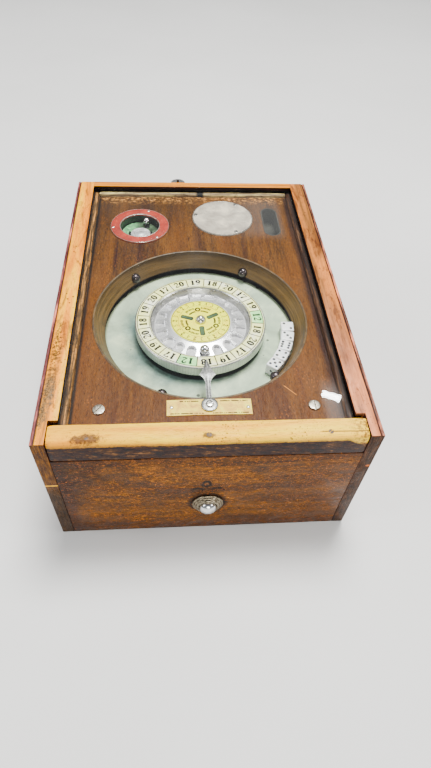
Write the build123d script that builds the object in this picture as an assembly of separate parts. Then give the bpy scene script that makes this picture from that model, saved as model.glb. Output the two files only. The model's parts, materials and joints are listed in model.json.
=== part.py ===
from build123d import *
import math
import os

# Counter-top wheel and dice trade stimulator in a glass-topped hardwood case.
# Millimetres. Origin: centre of the case's underside. X to the right seen from
# the front, Y towards the back, Z up.

# ---------------------------------------------------------------- dimensions
CASE_W = 279.4          # outer width of the case
CASE_D = 383.2          # outer depth of the case
CASE_H = 153.4          # height of the case
SIDE_T = 19.05          # side boards
BACK_T = 10.1           # back board
FRONT_T = 19.0          # front panel and lid rail
NOTCH_D = 22.9          # depth of the rabbet at the front of each side board
NOTCH_X = 128.6         # inner face of the part of a side board left by the rabbet
RAIL_Z = 128.8          # underside of the lid rail
PANEL_TOP = 142.0       # top of the playfield panel
PANEL_T = 9.5
GLASS_Z0, GLASS_Z1 = 146.5, 149.5
GROOVE_Z0, GROOVE_Z1 = 146.2, 149.8
BEAD_W = 6.0
BASE_T = 9.5

WX, WY = -1.0, -37.0    # axis of the dice well and the wheel
HOOP_R_TOP, HOOP_R_BOT = 103.2, 94.2
HOOP_T = 1.8
HOOP_Z_BOT = 125.6
TRAY_R, TRAY_Z = 96.0, 119.0
WHEEL_R = 64.6
WHEEL_Z0, WHEEL_Z1 = 125.8, 136.4
RING_R0, RING_R1 = 50.0, 63.3
LABEL_R = 29.5
POCKETS = 20
POCKET_R = 38.8
BALL_R = 4.7
SPINDLE_R = 4.0
RUN = 0.05              # radial clearance of a running fit

PLX, PLZ = 0.5, 50.0    # axis of the plunger
PL_TRAVEL = 8.0
ROD_R = 4.0
KNOB_R = 8.0

GEAR_M = 1.5            # module of the pinion and rack
GEAR_Z = 16
GEAR_PR = GEAR_M * GEAR_Z / 2.0
GEAR_Z0, GEAR_Z1 = 42.0, 54.0

DIE = 12.7
DIE_GAP = 0.3
DIE_ANGLES = [-3.4, -12.3, -21.2, -30.1, -39.0]
DIE_R = 87.2            # centre of each die from the well axis

CUP_X, CUP_Y = -64.2, 114.4
COVER_X, COVER_Y = 32.7, 131.2
WIN_X, WIN_Y = 89.6, 125.2

HX = CASE_W / 2
HY = CASE_D / 2
INX = HX - SIDE_T       # inner face of the side boards
YB = HY - BACK_T        # inner face of the back board

os.makedirs("parts", exist_ok=True)
nodes = {}


# ------------------------------------------------------------------- helpers
def box(x0, x1, y0, y1, z0, z1):
    return Pos((x0 + x1) / 2, (y0 + y1) / 2, (z0 + z1) / 2) * Box(
        abs(x1 - x0), abs(y1 - y0), abs(z1 - z0))


def cyl(x, y, z0, z1, r):
    return Pos(x, y, (z0 + z1) / 2) * Cylinder(r, z1 - z0)


def cyl_y(x, z, y0, y1, r):
    return Pos(x, (y0 + y1) / 2, z) * Rot(90, 0, 0) * Cylinder(r, abs(y1 - y0))


def cyl_x(y, z, x0, x1, r):
    return Pos((x0 + x1) / 2, y, z) * Rot(0, 90, 0) * Cylinder(r, abs(x1 - x0))


def tube(x, y, z0, z1, r1, r0):
    return cyl(x, y, z0, z1, r1) - cyl(x, y, z0 - 1, z1 + 1, r0)


def lathe(x, y, pts):
    """Solid of revolution about the vertical line through (x, y); pts are (r, z)."""
    face = Face(Wire.make_polygon([Vector(r, 0, z) for r, z in pts], close=True))
    return Pos(x, y, 0) * Solid.revolve(face, 360, Axis.Z)


def polar(r, deg, cx=WX, cy=WY):
    a = math.radians(deg)
    return cx + r * math.cos(a), cy + r * math.sin(a)


def solid_of(shape):
    got = list(shape.solids())
    return got[0] if len(got) == 1 else Compound(children=got)


def put(name, shape):
    nodes[name] = shape


def slot_screw(x, y, z_top, head_r, head_h, shank_r, length, slot=1.0):
    """Slotted cheese-head screw standing on the plane z_top, shank downwards."""
    head = cyl(x, y, z_top, z_top + head_h, head_r)
    head = head - box(x - head_r - 1, x + head_r + 1, y - slot / 2, y + slot / 2,
                      z_top + head_h * 0.45, z_top + head_h + 1)
    return head + cyl(x, y, z_top - length, z_top, shank_r)


# -------------------------------------------------------- case: side boards
def side_board(s):
    """s is -1 for the left board and +1 for the right one."""
    b = box(s * INX, s * HX, -HY, HY, 0, CASE_H)
    # rabbet for the front panel below and the lid rail above
    b = b - box(s * (INX - 1), s * NOTCH_X, -HY - 1, -HY + FRONT_T + 0.1, -1, RAIL_Z - 0.3)
    b = b - box(s * (INX - 1), s * NOTCH_X, -HY - 1, -HY + NOTCH_D, RAIL_Z - 0.31, CASE_H + 1)
    # groove that the glass slides in
    b = b - box(s * (INX - 1), s * (INX + 5.0), -HY - 1, HY - 6.0, GROOVE_Z0, GROOVE_Z1)
    # quirk along the outer top edge
    b = b - box(s * (HX - 3.4), s * (HX - 2.5), -HY - 1, HY + 1, CASE_H - 0.9, CASE_H + 1)
    b = b - box(s * (HX - 2.5), s * (HX + 1), -HY - 1, HY + 1, CASE_H - 0.3, CASE_H + 1)
    return b


put("side_board_left", side_board(-1))
put("side_board_right", side_board(1))

back = box(-INX, INX, YB, HY, 0, CASE_H)
back = back - box(-INX - 1, INX + 1, YB - 1, YB + 3.4, GROOVE_Z0, GROOVE_Z1)
# coin passage through the back board
COIN_X = -19.0
back = back - box(COIN_X - 1.4, COIN_X + 1.4, YB - 1, HY + 1, 106.0, 129.0)
put("back_board", back)

front = box(-NOTCH_X, NOTCH_X, -HY, -HY + FRONT_T, 0, RAIL_Z - 0.3)
BUSH_R = 11.0
front = front - cyl_y(PLX, PLZ, -HY - 1, -HY + FRONT_T + 1, BUSH_R)
put("front_panel", front)

base = box(-INX, INX, -HY + FRONT_T, YB, 0, BASE_T)

# base screws: countersunk, in two rows up into the side boards' bearers
base_screws = []
for sx in (-1, 1):
    for yy in (-150.0, -50.0, 50.0, 150.0):
        x = sx * (INX - 6.0)
        s = cyl(x, yy, 0.0, 1.6, 3.6) + cyl(x, yy, 1.5, 18.0, 1.7)
        s = s - box(x - 4, x + 4, yy - 0.4, yy + 0.4, -1, 0.8)
        base_screws.append(s)
        base = base - cyl(x, yy, -0.1, 1.6, 3.6) - cyl(x, yy, 1.5, BASE_T + 1, 1.7)
put("base_screws", Compound(children=[solid_of(s) for s in base_screws]))

# corner battens along the base and below the panel
bs = []
for sx in (-1, 1):
    x0, x1 = sx * INX, sx * (INX - 12.0)
    upper = box(x0, x1, -140.0, YB, PANEL_TOP - PANEL_T - 12.0, PANEL_TOP - PANEL_T)
    lower = box(x0, x1, -HY + FRONT_T, YB, BASE_T, BASE_T + 12.0)
    for yy in (-150.0, -50.0, 50.0, 150.0):
        lower = lower - cyl(sx * (INX - 6.0), yy, BASE_T - 1, 18.0, 1.7)
    bs += [upper, lower]
bs.append(box(-INX + 12.0, -INX + 90.0, YB - 12.0, YB,
              PANEL_TOP - PANEL_T - 10.0, PANEL_TOP - PANEL_T))
bs.append(box(INX - 90.0, INX - 12.0, YB - 12.0, YB,
              PANEL_TOP - PANEL_T - 10.0, PANEL_TOP - PANEL_T))
bearer_front = box(-INX, INX, -HY + FRONT_T, -143.0, 112.0, RAIL_Z - 0.3)
bearer_front = bearer_front + box(-INX, INX, -HY + NOTCH_D, -143.0, RAIL_Z - 0.31,
                                  PANEL_TOP - PANEL_T)

# bead strips that the glass rests over
put("bead_sides", Compound(children=[
    solid_of(box(s * INX, s * (INX - BEAD_W), -HY + NOTCH_D, YB, PANEL_TOP, 146.2))
    for s in (-1, 1)]))
put("bead_back", box(-INX + BEAD_W, INX - BEAD_W, YB - 4.5, YB, PANEL_TOP, 146.2))

# ---------------------------------------------------------- playfield panel
panel = box(-INX, INX, -HY + NOTCH_D, YB, PANEL_TOP - PANEL_T, PANEL_TOP)
HOLE_R = HOOP_R_TOP + HOOP_T
panel = panel - cyl(WX, WY, 100, 160, HOLE_R)

scr = []
for x, y in ((-91.3, -151.0), (91.3, -151.0)):
    s = slot_screw(x, y, PANEL_TOP, 5.3, 2.0, 2.4, 26.0, slot=1.3)
    scr.append(s)
    panel = panel - cyl(x, y, 100, 160, 2.4)
    bearer_front = bearer_front - cyl(x, y, PANEL_TOP - 26.0, 160, 2.4)
put("panel_screws", Compound(children=[solid_of(s) for s in scr]))
put("bearer_front", bearer_front)

# conical hoop that lines the well
hoop = lathe(WX, WY, [
    (HOOP_R_TOP, PANEL_TOP), (HOLE_R, PANEL_TOP), (HOLE_R, PANEL_TOP - 2.4),
    (HOOP_R_BOT + HOOP_T, HOOP_Z_BOT), (HOOP_R_BOT, HOOP_Z_BOT)])
# round-headed bumpers screwed through the hoop
bump = []
in_r = HOOP_R_TOP - (HOOP_R_TOP - HOOP_R_BOT) * (PANEL_TOP - 110.0) / (PANEL_TOP - HOOP_Z_BOT)
inside = lathe(WX, WY, [(0.0, 110.0), (in_r - 0.03, 110.0), (HOOP_R_TOP - 0.03, PANEL_TOP), (0.0, PANEL_TOP)])
for ang, zc, rc in ((58.4, 129.6, 96.4), (133.0, 131.0, 97.4),
                    (-46.5, 129.0, 96.2), (-113.6, 129.0, 96.2)):
    x, y = polar(rc, ang)
    shank = Pos(*polar(rc + 3.5, ang), zc) * Rot(0, 90, ang) * Cylinder(1.6, 9.0)
    head = (Pos(x, y, zc) * Sphere(5.2)) & inside
    bump.append(head + shank)
    hoop = hoop - shank
put("well_hoop", hoop)
put("well_bumpers", Compound(children=[solid_of(b) for b in bump]))

# pointer: thin plate from its clamp screw over the rim to the number ring
PTX, PTY = 1.2, -148.7
half = [(2.5, -142.0), (2.3, -126.0), (2.8, -121.8), (4.4, -118.4), (7.2, -115.8), (6.2, -113.8), (4.7, -111.0),
        (3.6, -108.0), (2.3, -104.4), (1.4, -101.0), (0.7, -98.2), (0.0, -96.6)]
pts = [(PTX + x, y) for x, y in half] + [(PTX - x, y) for x, y in reversed(half[:-1])]
outline = Face(Wire.make_polygon([Vector(x, y, 143.2) for x, y in pts], close=True))
pointer = extrude(outline, 1.2, dir=(0, 0, 1))
pointer = pointer + cyl(PTX, PTY, 143.2, 144.4, 7.2)
pointer = pointer - cyl(PTX, PTY, 140, 150, 1.7)
put("pointer", pointer)
psc = slot_screw(PTX, PTY, 144.4, 3.4, 1.4, 1.7, 22.0, slot=0.8)
put("pointer_screw", psc)
panel = panel - cyl(PTX, PTY, 120, 160, 1.7)

# cream plate under the pointer's clamp, held by two pins
plate = box(PTX - 36.2, PTX + 35.8, -158.6, -142.2, PANEL_TOP, 143.2)
plate = plate - cyl(PTX, PTY, 140, 150, 1.7)
pins = []
for x, y in ((-31.0, -150.6), (34.0, -151.6)):
    pins.append(cyl(x, y, 143.2, 143.8, 1.6) + cyl(x, y, 136.0, 143.3, 0.7))
    plate = plate - cyl(x, y, 130, 150, 0.7)
    panel = panel - cyl(x, y, 136.0, 150, 0.7)
put("pointer_plate", plate)
plate_pins = list(pins)
nodes["bearer_front"] = nodes["bearer_front"] - cyl(PTX, PTY, 122.4, 160, 1.7)

# --------------------------------------------------------- coin window, back left
CUP_R = 22.4
CUP_FLOOR = 133.5
CUP_T = 1.6
panel = panel - cyl(CUP_X, CUP_Y, 120, 160, CUP_R + CUP_T)
cup = tube(CUP_X, CUP_Y, 122.0, PANEL_TOP, CUP_R + CUP_T, CUP_R)
ring = tube(CUP_X, CUP_Y, PANEL_TOP, 143.6, 33.2, CUP_R)
pins = []
for a in (72.0, 188.0, 310.0):
    x, y = polar(30.6, a, CUP_X, CUP_Y)
    pins.append(cyl(x, y, 143.6, 144.2, 1.4) + cyl(x, y, 134.5, 143.7, 0.7))
    ring = ring - cyl(x, y, 130, 150, 0.7)
    panel = panel - cyl(x, y, 134.5, 150, 0.7)
put("coin_window_ring", ring)
put("dress_pins", Compound(children=[solid_of(s) for s in plate_pins + pins]))
# hinge pin of the trip flap crosses the back of the cup
FLAP_HY = CUP_Y + 16.5
FLAP_HZ = CUP_FLOOR - 2.6
pin_len = 2 * math.sqrt(CUP_R ** 2 - 16.5 ** 2)
cup = cup - cyl_x(FLAP_HY, FLAP_HZ, CUP_X - 40, CUP_X + 40, 1.0)
flap_pin = cyl_x(FLAP_HY, FLAP_HZ, CUP_X - CUP_R - 0.4, CUP_X + CUP_R + 0.4, 1.0)
flap_pin = flap_pin & cyl(CUP_X, CUP_Y, 100, 160, CUP_R + CUP_T)
put("coin_cup", cup)
put("flap_pin", flap_pin)
flap = cyl(CUP_X, CUP_Y, CUP_FLOOR - 1.2, CUP_FLOOR, CUP_R - 1.2)
for sx in (-9.0, 5.0):
    flap = flap + cyl_x(FLAP_HY, FLAP_HZ, CUP_X + sx - 2, CUP_X + sx + 6, 2.2)
flap = flap - cyl_x(FLAP_HY, FLAP_HZ, CUP_X - 40, CUP_X + 40, 1.0 + RUN)
put("coin_flap", flap)
put("coin", cyl(CUP_X + 0.4, CUP_Y - 3.8, CUP_FLOOR, CUP_FLOOR + 1.8, 11.2))
# stop button on the flap: ball head on a short stem
stop = cyl(CUP_X + 7.0, CUP_Y + 15.9, CUP_FLOOR, CUP_FLOOR + 3.4, 1.5)
stop = stop + Pos(CUP_X + 7.0, CUP_Y + 15.9, CUP_FLOOR + 5.1) * Sphere(4.0)
put("flap_stop", stop)

# ------------------------------------------------------- cover plate, back centre
cover = cyl(COVER_X, COVER_Y, PANEL_TOP, 143.4, 35.7)
cs = []
for a in (171.0, 58.0, -65.0):
    x, y = polar(32.0, a, COVER_X, COVER_Y)
    cs.append(slot_screw(x, y, 143.4, 2.2, 0.9, 1.2, 8.0, slot=0.6))
    cover = cover - cyl(x, y, 130, 150, 1.2)
    panel = panel - cyl(x, y, 135.4, 150, 1.2)
put("cover_plate", cover)
put("cover_plate_screws", Compound(children=[solid_of(s) for s in cs]))

# -------------------------------------------------- oblong recess, back right
WIN_W, WIN_L = 19.2, 56.3


def stadium(w, l, z0, z1):
    s = box(WIN_X - w / 2, WIN_X + w / 2, WIN_Y - (l - w) / 2, WIN_Y + (l - w) / 2, z0, z1)
    s = s + cyl(WIN_X, WIN_Y - (l - w) / 2, z0, z1, w / 2)
    return s + cyl(WIN_X, WIN_Y + (l - w) / 2, z0, z1, w / 2)


panel = panel - stadium(WIN_W, WIN_L, 120, 160)
liner = stadium(WIN_W, WIN_L, 122.0, PANEL_TOP) - stadium(WIN_W - 2.0, WIN_L - 2.0, 123.2, 160)
put("window_liner", liner)
put("playfield_panel", panel)

# ------------------------------------------------------------ coin entry, back
entry = cyl(COIN_X, HY + 2.2, 104.0, 152.0, 8.7) + box(COIN_X - 8.7, COIN_X + 8.7, HY, HY + 2.2, 104.0, 152.0)
entry = entry & box(COIN_X - 9, COIN_X + 9, HY, HY + 20, 100, 160)
entry = entry - box(COIN_X - 1.4, COIN_X + 1.4, HY - 1, HY + 8.9, 106.0, 160)
ears = box(COIN_X - 15.0, COIN_X + 15.0, HY, HY + 1.6, 112.0, 124.0) - box(
    COIN_X - 1.4, COIN_X + 1.4, HY - 1, HY + 5, 100, 160)
entry = entry + ears
es = []
for sx in (-12.0, 12.0):
    x = COIN_X + sx
    h = cyl_y(x, 118.0, HY + 1.6, HY + 3.0, 2.4) + cyl_y(x, 118.0, HY - 7.0, HY + 1.7, 1.2)
    h = h - box(x - 4, x + 4, HY + 2.3, HY + 4, 117.7, 118.3)
    es.append(h)
    entry = entry - cyl_y(x, 118.0, HY - 10, HY + 10, 1.2)
    nodes["back_board"] = nodes["back_board"] - cyl_y(x, 118.0, HY - 7.0, HY + 10, 1.2)
put("coin_entry", entry)
put("coin_entry_screws", Compound(children=[solid_of(s) for s in es]))

# chute: narrow channel that drops forward from the slot
prof = [(YB, 105.0), (YB, 131.0), (120.0, 112.0), (120.0, 78.0), (124.0, 78.0)]
f = Face(Wire.make_polygon([Vector(COIN_X - 2.6, y, z) for y, z in prof], close=True))
chute = extrude(f, 5.2, dir=(1, 0, 0))
prof = [(YB + 1, 106.4), (YB + 1, 129.6), (121.2, 110.8), (121.2, 70.0), (125.6, 70.0), (126.0, 80.6)]
f = Face(Wire.make_polygon([Vector(COIN_X - 1.4, y, z) for y, z in prof], close=True))
chute = chute - extrude(f, 2.8, dir=(1, 0, 0))
put("coin_chute", chute)

# cash box: open tin tray on the base, below the flap and the chute
CBX0, CBX1, CBY0, CBY1, CBZ = -104.0, -4.0, 84.0, 166.0, 44.0
cash = box(CBX0, CBX1, CBY0, CBY1, BASE_T, CBZ) - box(
    CBX0 + 1.2, CBX1 - 1.2, CBY0 + 1.2, CBY1 - 1.2, BASE_T + 1.2, CBZ + 1)
put("cash_box", cash)

# ------------------------------------------------------------------- lid
rail = box(-NOTCH_X + 0.6, NOTCH_X - 0.6, -HY, -HY + FRONT_T, RAIL_Z, CASE_H)
edge = rail.edges().filter_by(Axis.X).sort_by(Axis.Z)[-2:].sort_by(Axis.Y)[0]
rail = fillet(edge, 5.0)
rail = rail - box(-124.6, 124.6, -HY + FRONT_T - 5.0, -HY + FRONT_T + 1, GLASS_Z0, GLASS_Z1)
ls = []
for x in (-97.5, -1.6, 96.5):
    x0, y0 = x, -185.6
    head = cyl(x0, y0, CASE_H - 1.3, CASE_H - 0.1, 2.6) + cyl(x0, y0, CASE_H - 18.0, CASE_H - 1.2, 1.4)
    head = head - box(x0 - 3, x0 + 3, y0 - 0.35, y0 + 0.35, CASE_H - 0.7, CASE_H + 1)
    ls.append(head)
    rail = rail - cyl(x0, y0, CASE_H - 1.3, CASE_H + 1, 2.6) - cyl(x0, y0, CASE_H - 18.0, CASE_H, 1.4)
put("lid_rail", rail)
put("lid_rail_screws", Compound(children=[solid_of(s) for s in ls]))
put("lid_glass", box(-124.6, 124.6, -HY + FRONT_T - 5.0, YB + 3.0, GLASS_Z0, GLASS_Z1))

# ----------------------------------------------------------------- plunger
# stepped collar in the front panel with a counterbore for the button
YF = -HY
bush = cyl_y(PLX, PLZ, YF - 1.8, YF, 14.5)
bush = bush + cyl_y(PLX, PLZ, YF - 3.2, YF - 1.8, 12.8)
bush = bush + cyl_y(PLX, PLZ, YF - 4.8, YF - 3.2, 11.2)
bush = bush + cyl_y(PLX, PLZ, YF, YF + FRONT_T + 9.0, BUSH_R)
bush = bush - cyl_y(PLX, PLZ, YF - 10, YF + 9.0, KNOB_R + 0.35)
bush = bush - cyl_y(PLX, PLZ, YF - 10, YF + 60, ROD_R + RUN)
put("plunger_bushing", bush)
nut = Pos(PLX, YF + FRONT_T + 3.0, PLZ) * Rot(90, 0, 0) * extrude(RegularPolygon(16.5, 6), 3.0, both=True)
nut = nut - cyl_y(PLX, PLZ, YF, YF + 60, BUSH_R)
put("bushing_nut", nut)

KNOB_END = YF - 10.4    # crown of the domed button at rest
dome_r = 11.0
dome_h = dome_r - math.sqrt(dome_r ** 2 - KNOB_R ** 2)
ROD_Y0, ROD_Y1 = YF - 2.0, -62.0
k_len, k_bore = YF + 0.8 - KNOB_END, ROD_Y0 - KNOB_END
ra = math.asin(KNOB_R / dome_r) / 2
section = [
    ThreePointArc((0, 0, 0), (dome_r * math.sin(ra), 0, dome_r - dome_r * math.cos(ra)), (KNOB_R, 0, dome_h)),
    Line((KNOB_R, 0, dome_h), (KNOB_R, 0, k_len)), Line((KNOB_R, 0, k_len), (3.0, 0, k_len)),
    Line((3.0, 0, k_len), (3.0, 0, k_bore)), Line((3.0, 0, k_bore), (0, 0, k_bore)),
    Line((0, 0, k_bore), (0, 0, 0))]
knob = Solid.revolve(Face(Wire([e.edge() for e in section])), 360, Axis.Z)
knob = Pos(PLX, KNOB_END, PLZ) * Rot(-90, 0, 0) * knob
put("plunger_knob", knob)
rod = cyl_y(PLX, PLZ, YF + 0.8, ROD_Y1, ROD_R) + cyl_y(PLX, PLZ, ROD_Y0, YF + 1.0, 3.0)
COLLAR_Y = -152.0
rod = rod + cyl_y(PLX, PLZ, COLLAR_Y - 4.0, COLLAR_Y, 7.5)
put("plunger_rod", rod)

GUIDE_Y0, GUIDE_Y1 = -100.0, -92.0
guide = box(PLX - 12, PLX + 12, GUIDE_Y0, GUIDE_Y1, BASE_T + 3, 60.0)
guide = guide + box(PLX - 24, PLX + 24, GUIDE_Y0 - 6, GUIDE_Y1 + 6, BASE_T, BASE_T + 3)
guide = guide - cyl_y(PLX, PLZ, GUIDE_Y0 - 5, GUIDE_Y1 + 5, ROD_R + RUN)
put("rod_guide", guide)

# compression spring between the rod's collar and the guide
coils = 9
wire_r, coil_r = 0.7, 6.2
span = GUIDE_Y0 - COLLAR_Y - 2 * wire_r - 0.4
helix = Helix(pitch=span / coils, height=span, radius=coil_r)
sect = Plane(origin=helix @ 0, z_dir=helix % 0) * Circle(wire_r)
spring = sweep(sect, path=helix, is_frenet=True)
spring = Pos(PLX, COLLAR_Y + wire_r + 0.2, PLZ) * Rot(-90, 0, 0) * spring
put("plunger_spring", spring)

# crosshead and rack on the rod's inner end; the rack runs beside the pinion
pitch = math.pi * GEAR_M
ADD, DED = 1.2, 1.7
PITCH_X = WX + GEAR_PR
root_x = PITCH_X + DED
RK0, RK1 = -66.0, -16.0
rack = box(root_x, root_x + 6.0, RK0, RK1, GEAR_Z0 + 1.5, GEAR_Z1 - 1.5)
for k in range(-5, 5):
    yc = WY + k * pitch
    if yc - 2 < RK0 + 8 or yc + 2 > RK1:
        continue
    w_root, w_tip = 1.45, 0.55
    tooth = Face(Wire.make_polygon([
        Vector(root_x + 0.2, yc - w_root, GEAR_Z0 + 1.5), Vector(root_x + 0.2, yc + w_root, GEAR_Z0 + 1.5),
        Vector(PITCH_X - ADD, yc + w_tip, GEAR_Z0 + 1.5), Vector(PITCH_X - ADD, yc - w_tip, GEAR_Z0 + 1.5)],
        close=True))
    rack = rack + extrude(tooth, GEAR_Z1 - GEAR_Z0 - 3.0, dir=(0, 0, 1))
rack = rack + box(PLX - 6.5, root_x + 6.0, RK0, RK0 + 6.0, GEAR_Z0 + 1.5, GEAR_Z1 - 1.5)
rack = rack - cyl_y(PLX, PLZ, -120, ROD_Y1, ROD_R)
put("plunger_rack", rack)

# ------------------------------------------------------ pinion and ratchet drive
tooth_r0, tooth_r1 = GEAR_PR - DED, GEAR_PR + ADD
gear_pts = []
for k in range(GEAR_Z):
    c = 360.0 / GEAR_Z * (k + 0.5)
    for r, dw in ((tooth_r0, -1.45), (tooth_r1, -0.55), (tooth_r1, 0.55), (tooth_r0, 1.45)):
        a = math.radians(c) + dw / r
        gear_pts.append(Vector(WX + r * math.cos(a), WY + r * math.sin(a), GEAR_Z0))
pinion = extrude(Face(Wire.make_polygon(gear_pts, close=True)), GEAR_Z1 - GEAR_Z0, dir=(0, 0, 1))
pinion = pinion + cyl(WX, WY, GEAR_Z1, 55.2, 8.0)
pinion = pinion + cyl(WX, WY, 55.2, 57.2, 23.0)
pinion = pinion - cyl(WX, WY, 30, 70, SPINDLE_R + RUN)
PWX, PWY = polar(20.0, 100.0)
pinion = pinion - cyl(PWX, PWY, 50, 70, 1.2)
put("drive_pinion", pinion)
pawl = cyl(PWX, PWY, 57.2, 61.2, 2.6) + cyl(PWX, PWY, 55.2, 58.0, 1.2)
tipx, tipy = polar(18.0, 132.0)
arm = Face(Wire.make_polygon([
    Vector(*polar(22.2, 104.0), 57.2), Vector(*polar(18.2, 103.0), 57.2),
    Vector(*polar(17.6, 118.0), 57.2), Vector(*polar(17.5, 131.0), 57.2),
    Vector(*polar(19.4, 131.0), 57.2), Vector(*polar(21.4, 118.0), 57.2)], close=True))
pawl = pawl + extrude(arm, 4.0, dir=(0, 0, 1))
put("drive_pawl", pawl)

RAT_N, RAT_R1, RAT_R0 = 12, 17.0, 14.2
rp = []
for k in range(RAT_N):
    a0 = math.radians(360.0 / RAT_N * k)
    rp.append(Vector(WX + RAT_R1 * math.cos(a0), WY + RAT_R1 * math.sin(a0), 57.6))
    a1 = math.radians(360.0 / RAT_N * k + 4.0)
    rp.append(Vector(WX + RAT_R0 * math.cos(a1), WY + RAT_R0 * math.sin(a1), 57.6))
rat = extrude(Face(Wire.make_polygon(rp, close=True)), 3.4, dir=(0, 0, 1))
rat = rat + cyl(WX, WY, 61.0, 68.0, 8.0)
rat = rat - cyl(WX, WY, 40, 80, SPINDLE_R)
put("ratchet_wheel", rat)

# ----------------------------------------------------------- spindle and bearings
put("spindle", cyl(WX, WY, BASE_T + 2.0, 135.4, SPINDLE_R))
lower = lathe(WX, WY, [(0.0, BASE_T), (15.0, BASE_T), (15.0, BASE_T + 3.0), (9.0, BASE_T + 4.0),
                       (9.0, BASE_T + 14.0), (0.0, BASE_T + 14.0)])
lower = lower - cyl(WX, WY, BASE_T + 1.7, 60, SPINDLE_R + RUN)
put("lower_bearing", lower)

BR0, BR1 = 86.0, 98.0
bridge = box(-INX, INX, WY - 14.0, WY + 14.0, BR0, BR1)
bridge = bridge - cyl(WX, WY, 60, 120, 8.0)
put("upper_bearing", lathe(WX, WY, [(SPINDLE_R + RUN, BR0), (8.0, BR0), (8.0, BR1), (12.0, BR1),
                                    (12.0, BR1 + 2.0), (SPINDLE_R + RUN, BR1 + 2.0)]))
ledges = []
for sx in (-1, 1):
    ledges.append(box(sx * INX, sx * (INX - 14.0), WY - 14.0, WY + 14.0, BR0 - 14.0, BR0))
bridge_screws = []
for sx in (-1, 1):
    for dy in (-8.0, 8.0):
        x, y = sx * (INX - 7.0), WY + dy
        bridge_screws.append(slot_screw(x, y, BR1, 3.6, 1.6, 1.7, 22.0, slot=0.8))
        bridge = bridge - cyl(x, y, 60, 120, 1.7)
        ledges = [l - cyl(x, y, BR1 - 22.0, 120, 1.7) for l in ledges]
for gx in (-18.0, 18.0):
    for yy in (GUIDE_Y0 - 3.0, GUIDE_Y1 + 3.0):
        x = PLX + gx
        bridge_screws.append(slot_screw(x, yy, BASE_T + 3.0, 2.6, 1.2, 1.2, 9.0, slot=0.6))
        nodes["rod_guide"] = nodes["rod_guide"] - cyl(x, yy, 0, 30, 1.2)
        base = base - cyl(x, yy, BASE_T + 3.0 - 9.0, 30, 1.2)
put("mechanism_bridge", bridge)
put("battens", Compound(children=[solid_of(s) for s in bs + ledges]))
put("mechanism_screws", Compound(children=[solid_of(s) for s in bridge_screws]))
put("base_board", base)

# ---------------------------------------------------------------- wheel and tray
tray = cyl(WX, WY, TRAY_Z - 2.4, TRAY_Z, TRAY_R) - cyl(WX, WY, 100, 130, SPINDLE_R)
for ang in (144.0, 56.0, 46.0):
    x, y = polar(TRAY_R + 0.6, ang)
    tray = tray - cyl(x, y, 100, 130, 2.2)
put("tray_disc", tray)
hub = lathe(WX, WY, [(SPINDLE_R, 100.4), (11.0, 100.4), (11.0, 110.0), (26.0, 112.6),
                     (26.0, TRAY_Z - 2.4), (SPINDLE_R, TRAY_Z - 2.4)])
put("tray_hub", hub)
spacer = lathe(WX, WY, [(SPINDLE_R, TRAY_Z), (34.0, TRAY_Z), (30.0, WHEEL_Z0), (SPINDLE_R, WHEEL_Z0)])
put("wheel_spacer", spacer)

FLOOR_Z = 129.6
rim = lathe(WX, WY, [(46.0, WHEEL_Z0), (WHEEL_R - 0.8, WHEEL_Z0), (WHEEL_R, WHEEL_Z0 + 0.8),
                     (WHEEL_R, WHEEL_Z1 - 0.6), (WHEEL_R - 0.6, WHEEL_Z1),
                     (RING_R0 - 0.4, WHEEL_Z1), (48.6, WHEEL_Z1 - 1.0), (46.0, FLOOR_Z)])
put("wheel_rim", rim)
plate2 = cyl(WX, WY, WHEEL_Z0, FLOOR_Z, 46.0) - cyl(WX, WY, 100, 160, SPINDLE_R)
put("wheel_floor", plate2)
crown = lathe(WX, WY, [(SPINDLE_R, FLOOR_Z), (45.0, FLOOR_Z), (44.4, FLOOR_Z + 1.6),
                       (LABEL_R + 1.6, 134.4), (SPINDLE_R, 134.4)])
for k in range(POCKETS):
    a = -87.0 + 360.0 / POCKETS * k
    x, y = polar(POCKET_R, a)
    xo, yo = polar(POCKET_R + 8.0, a)
    crown = crown - cyl(x, y, FLOOR_Z - 1, 160, BALL_R + 0.2)
    slot = Pos((x + xo) / 2, (y + yo) / 2, FLOOR_Z + 5) * Rot(0, 0, a) * Box(8.0, 2 * (BALL_R + 0.2), 12.0)
    crown = crown - slot
put("pocket_crown", crown)
put("number_ring", tube(WX, WY, WHEEL_Z1, WHEEL_Z1 + 0.4, RING_R1, RING_R0))
put("wheel_label", tube(WX, WY, 134.4, 135.0, LABEL_R, SPINDLE_R))
nut2 = cyl(WX, WY, 135.4, 137.0, 5.2) + tube(WX, WY, 135.0, 135.5, 5.2, SPINDLE_R)
nut2 = nut2 + (Pos(WX, WY, 137.0) * Sphere(4.6) & box(-20, 20, -60, 0, 136.9, 145))
put("centre_nut", nut2)
bx, by = polar(POCKET_R, -87.0)
put("roulette_ball", Pos(bx, by, FLOOR_Z + BALL_R) * Sphere(BALL_R))

# --------------------------------------------------------------------- dice
dice = []
for a in DIE_ANGLES:
    x, y = polar(DIE_R, a)
    d = Box(DIE, DIE, DIE)
    d = fillet(d.edges(), 1.2)
    dice.append(Pos(x, y, TRAY_Z + DIE_GAP + DIE / 2) * Rot(0, 0, a) * d)
put("dice", Compound(children=[solid_of(s) for s in dice]))

# ------------------------------------------------------------------- export
for name, shape in nodes.items():
    export_step(shape if isinstance(shape, Compound) else solid_of(shape), "parts/%s.step" % name)
print(len(nodes), "nodes")
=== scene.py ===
import json
import math
import random

import bmesh
import bpy
from mathutils import Matrix, Vector, noise


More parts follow.
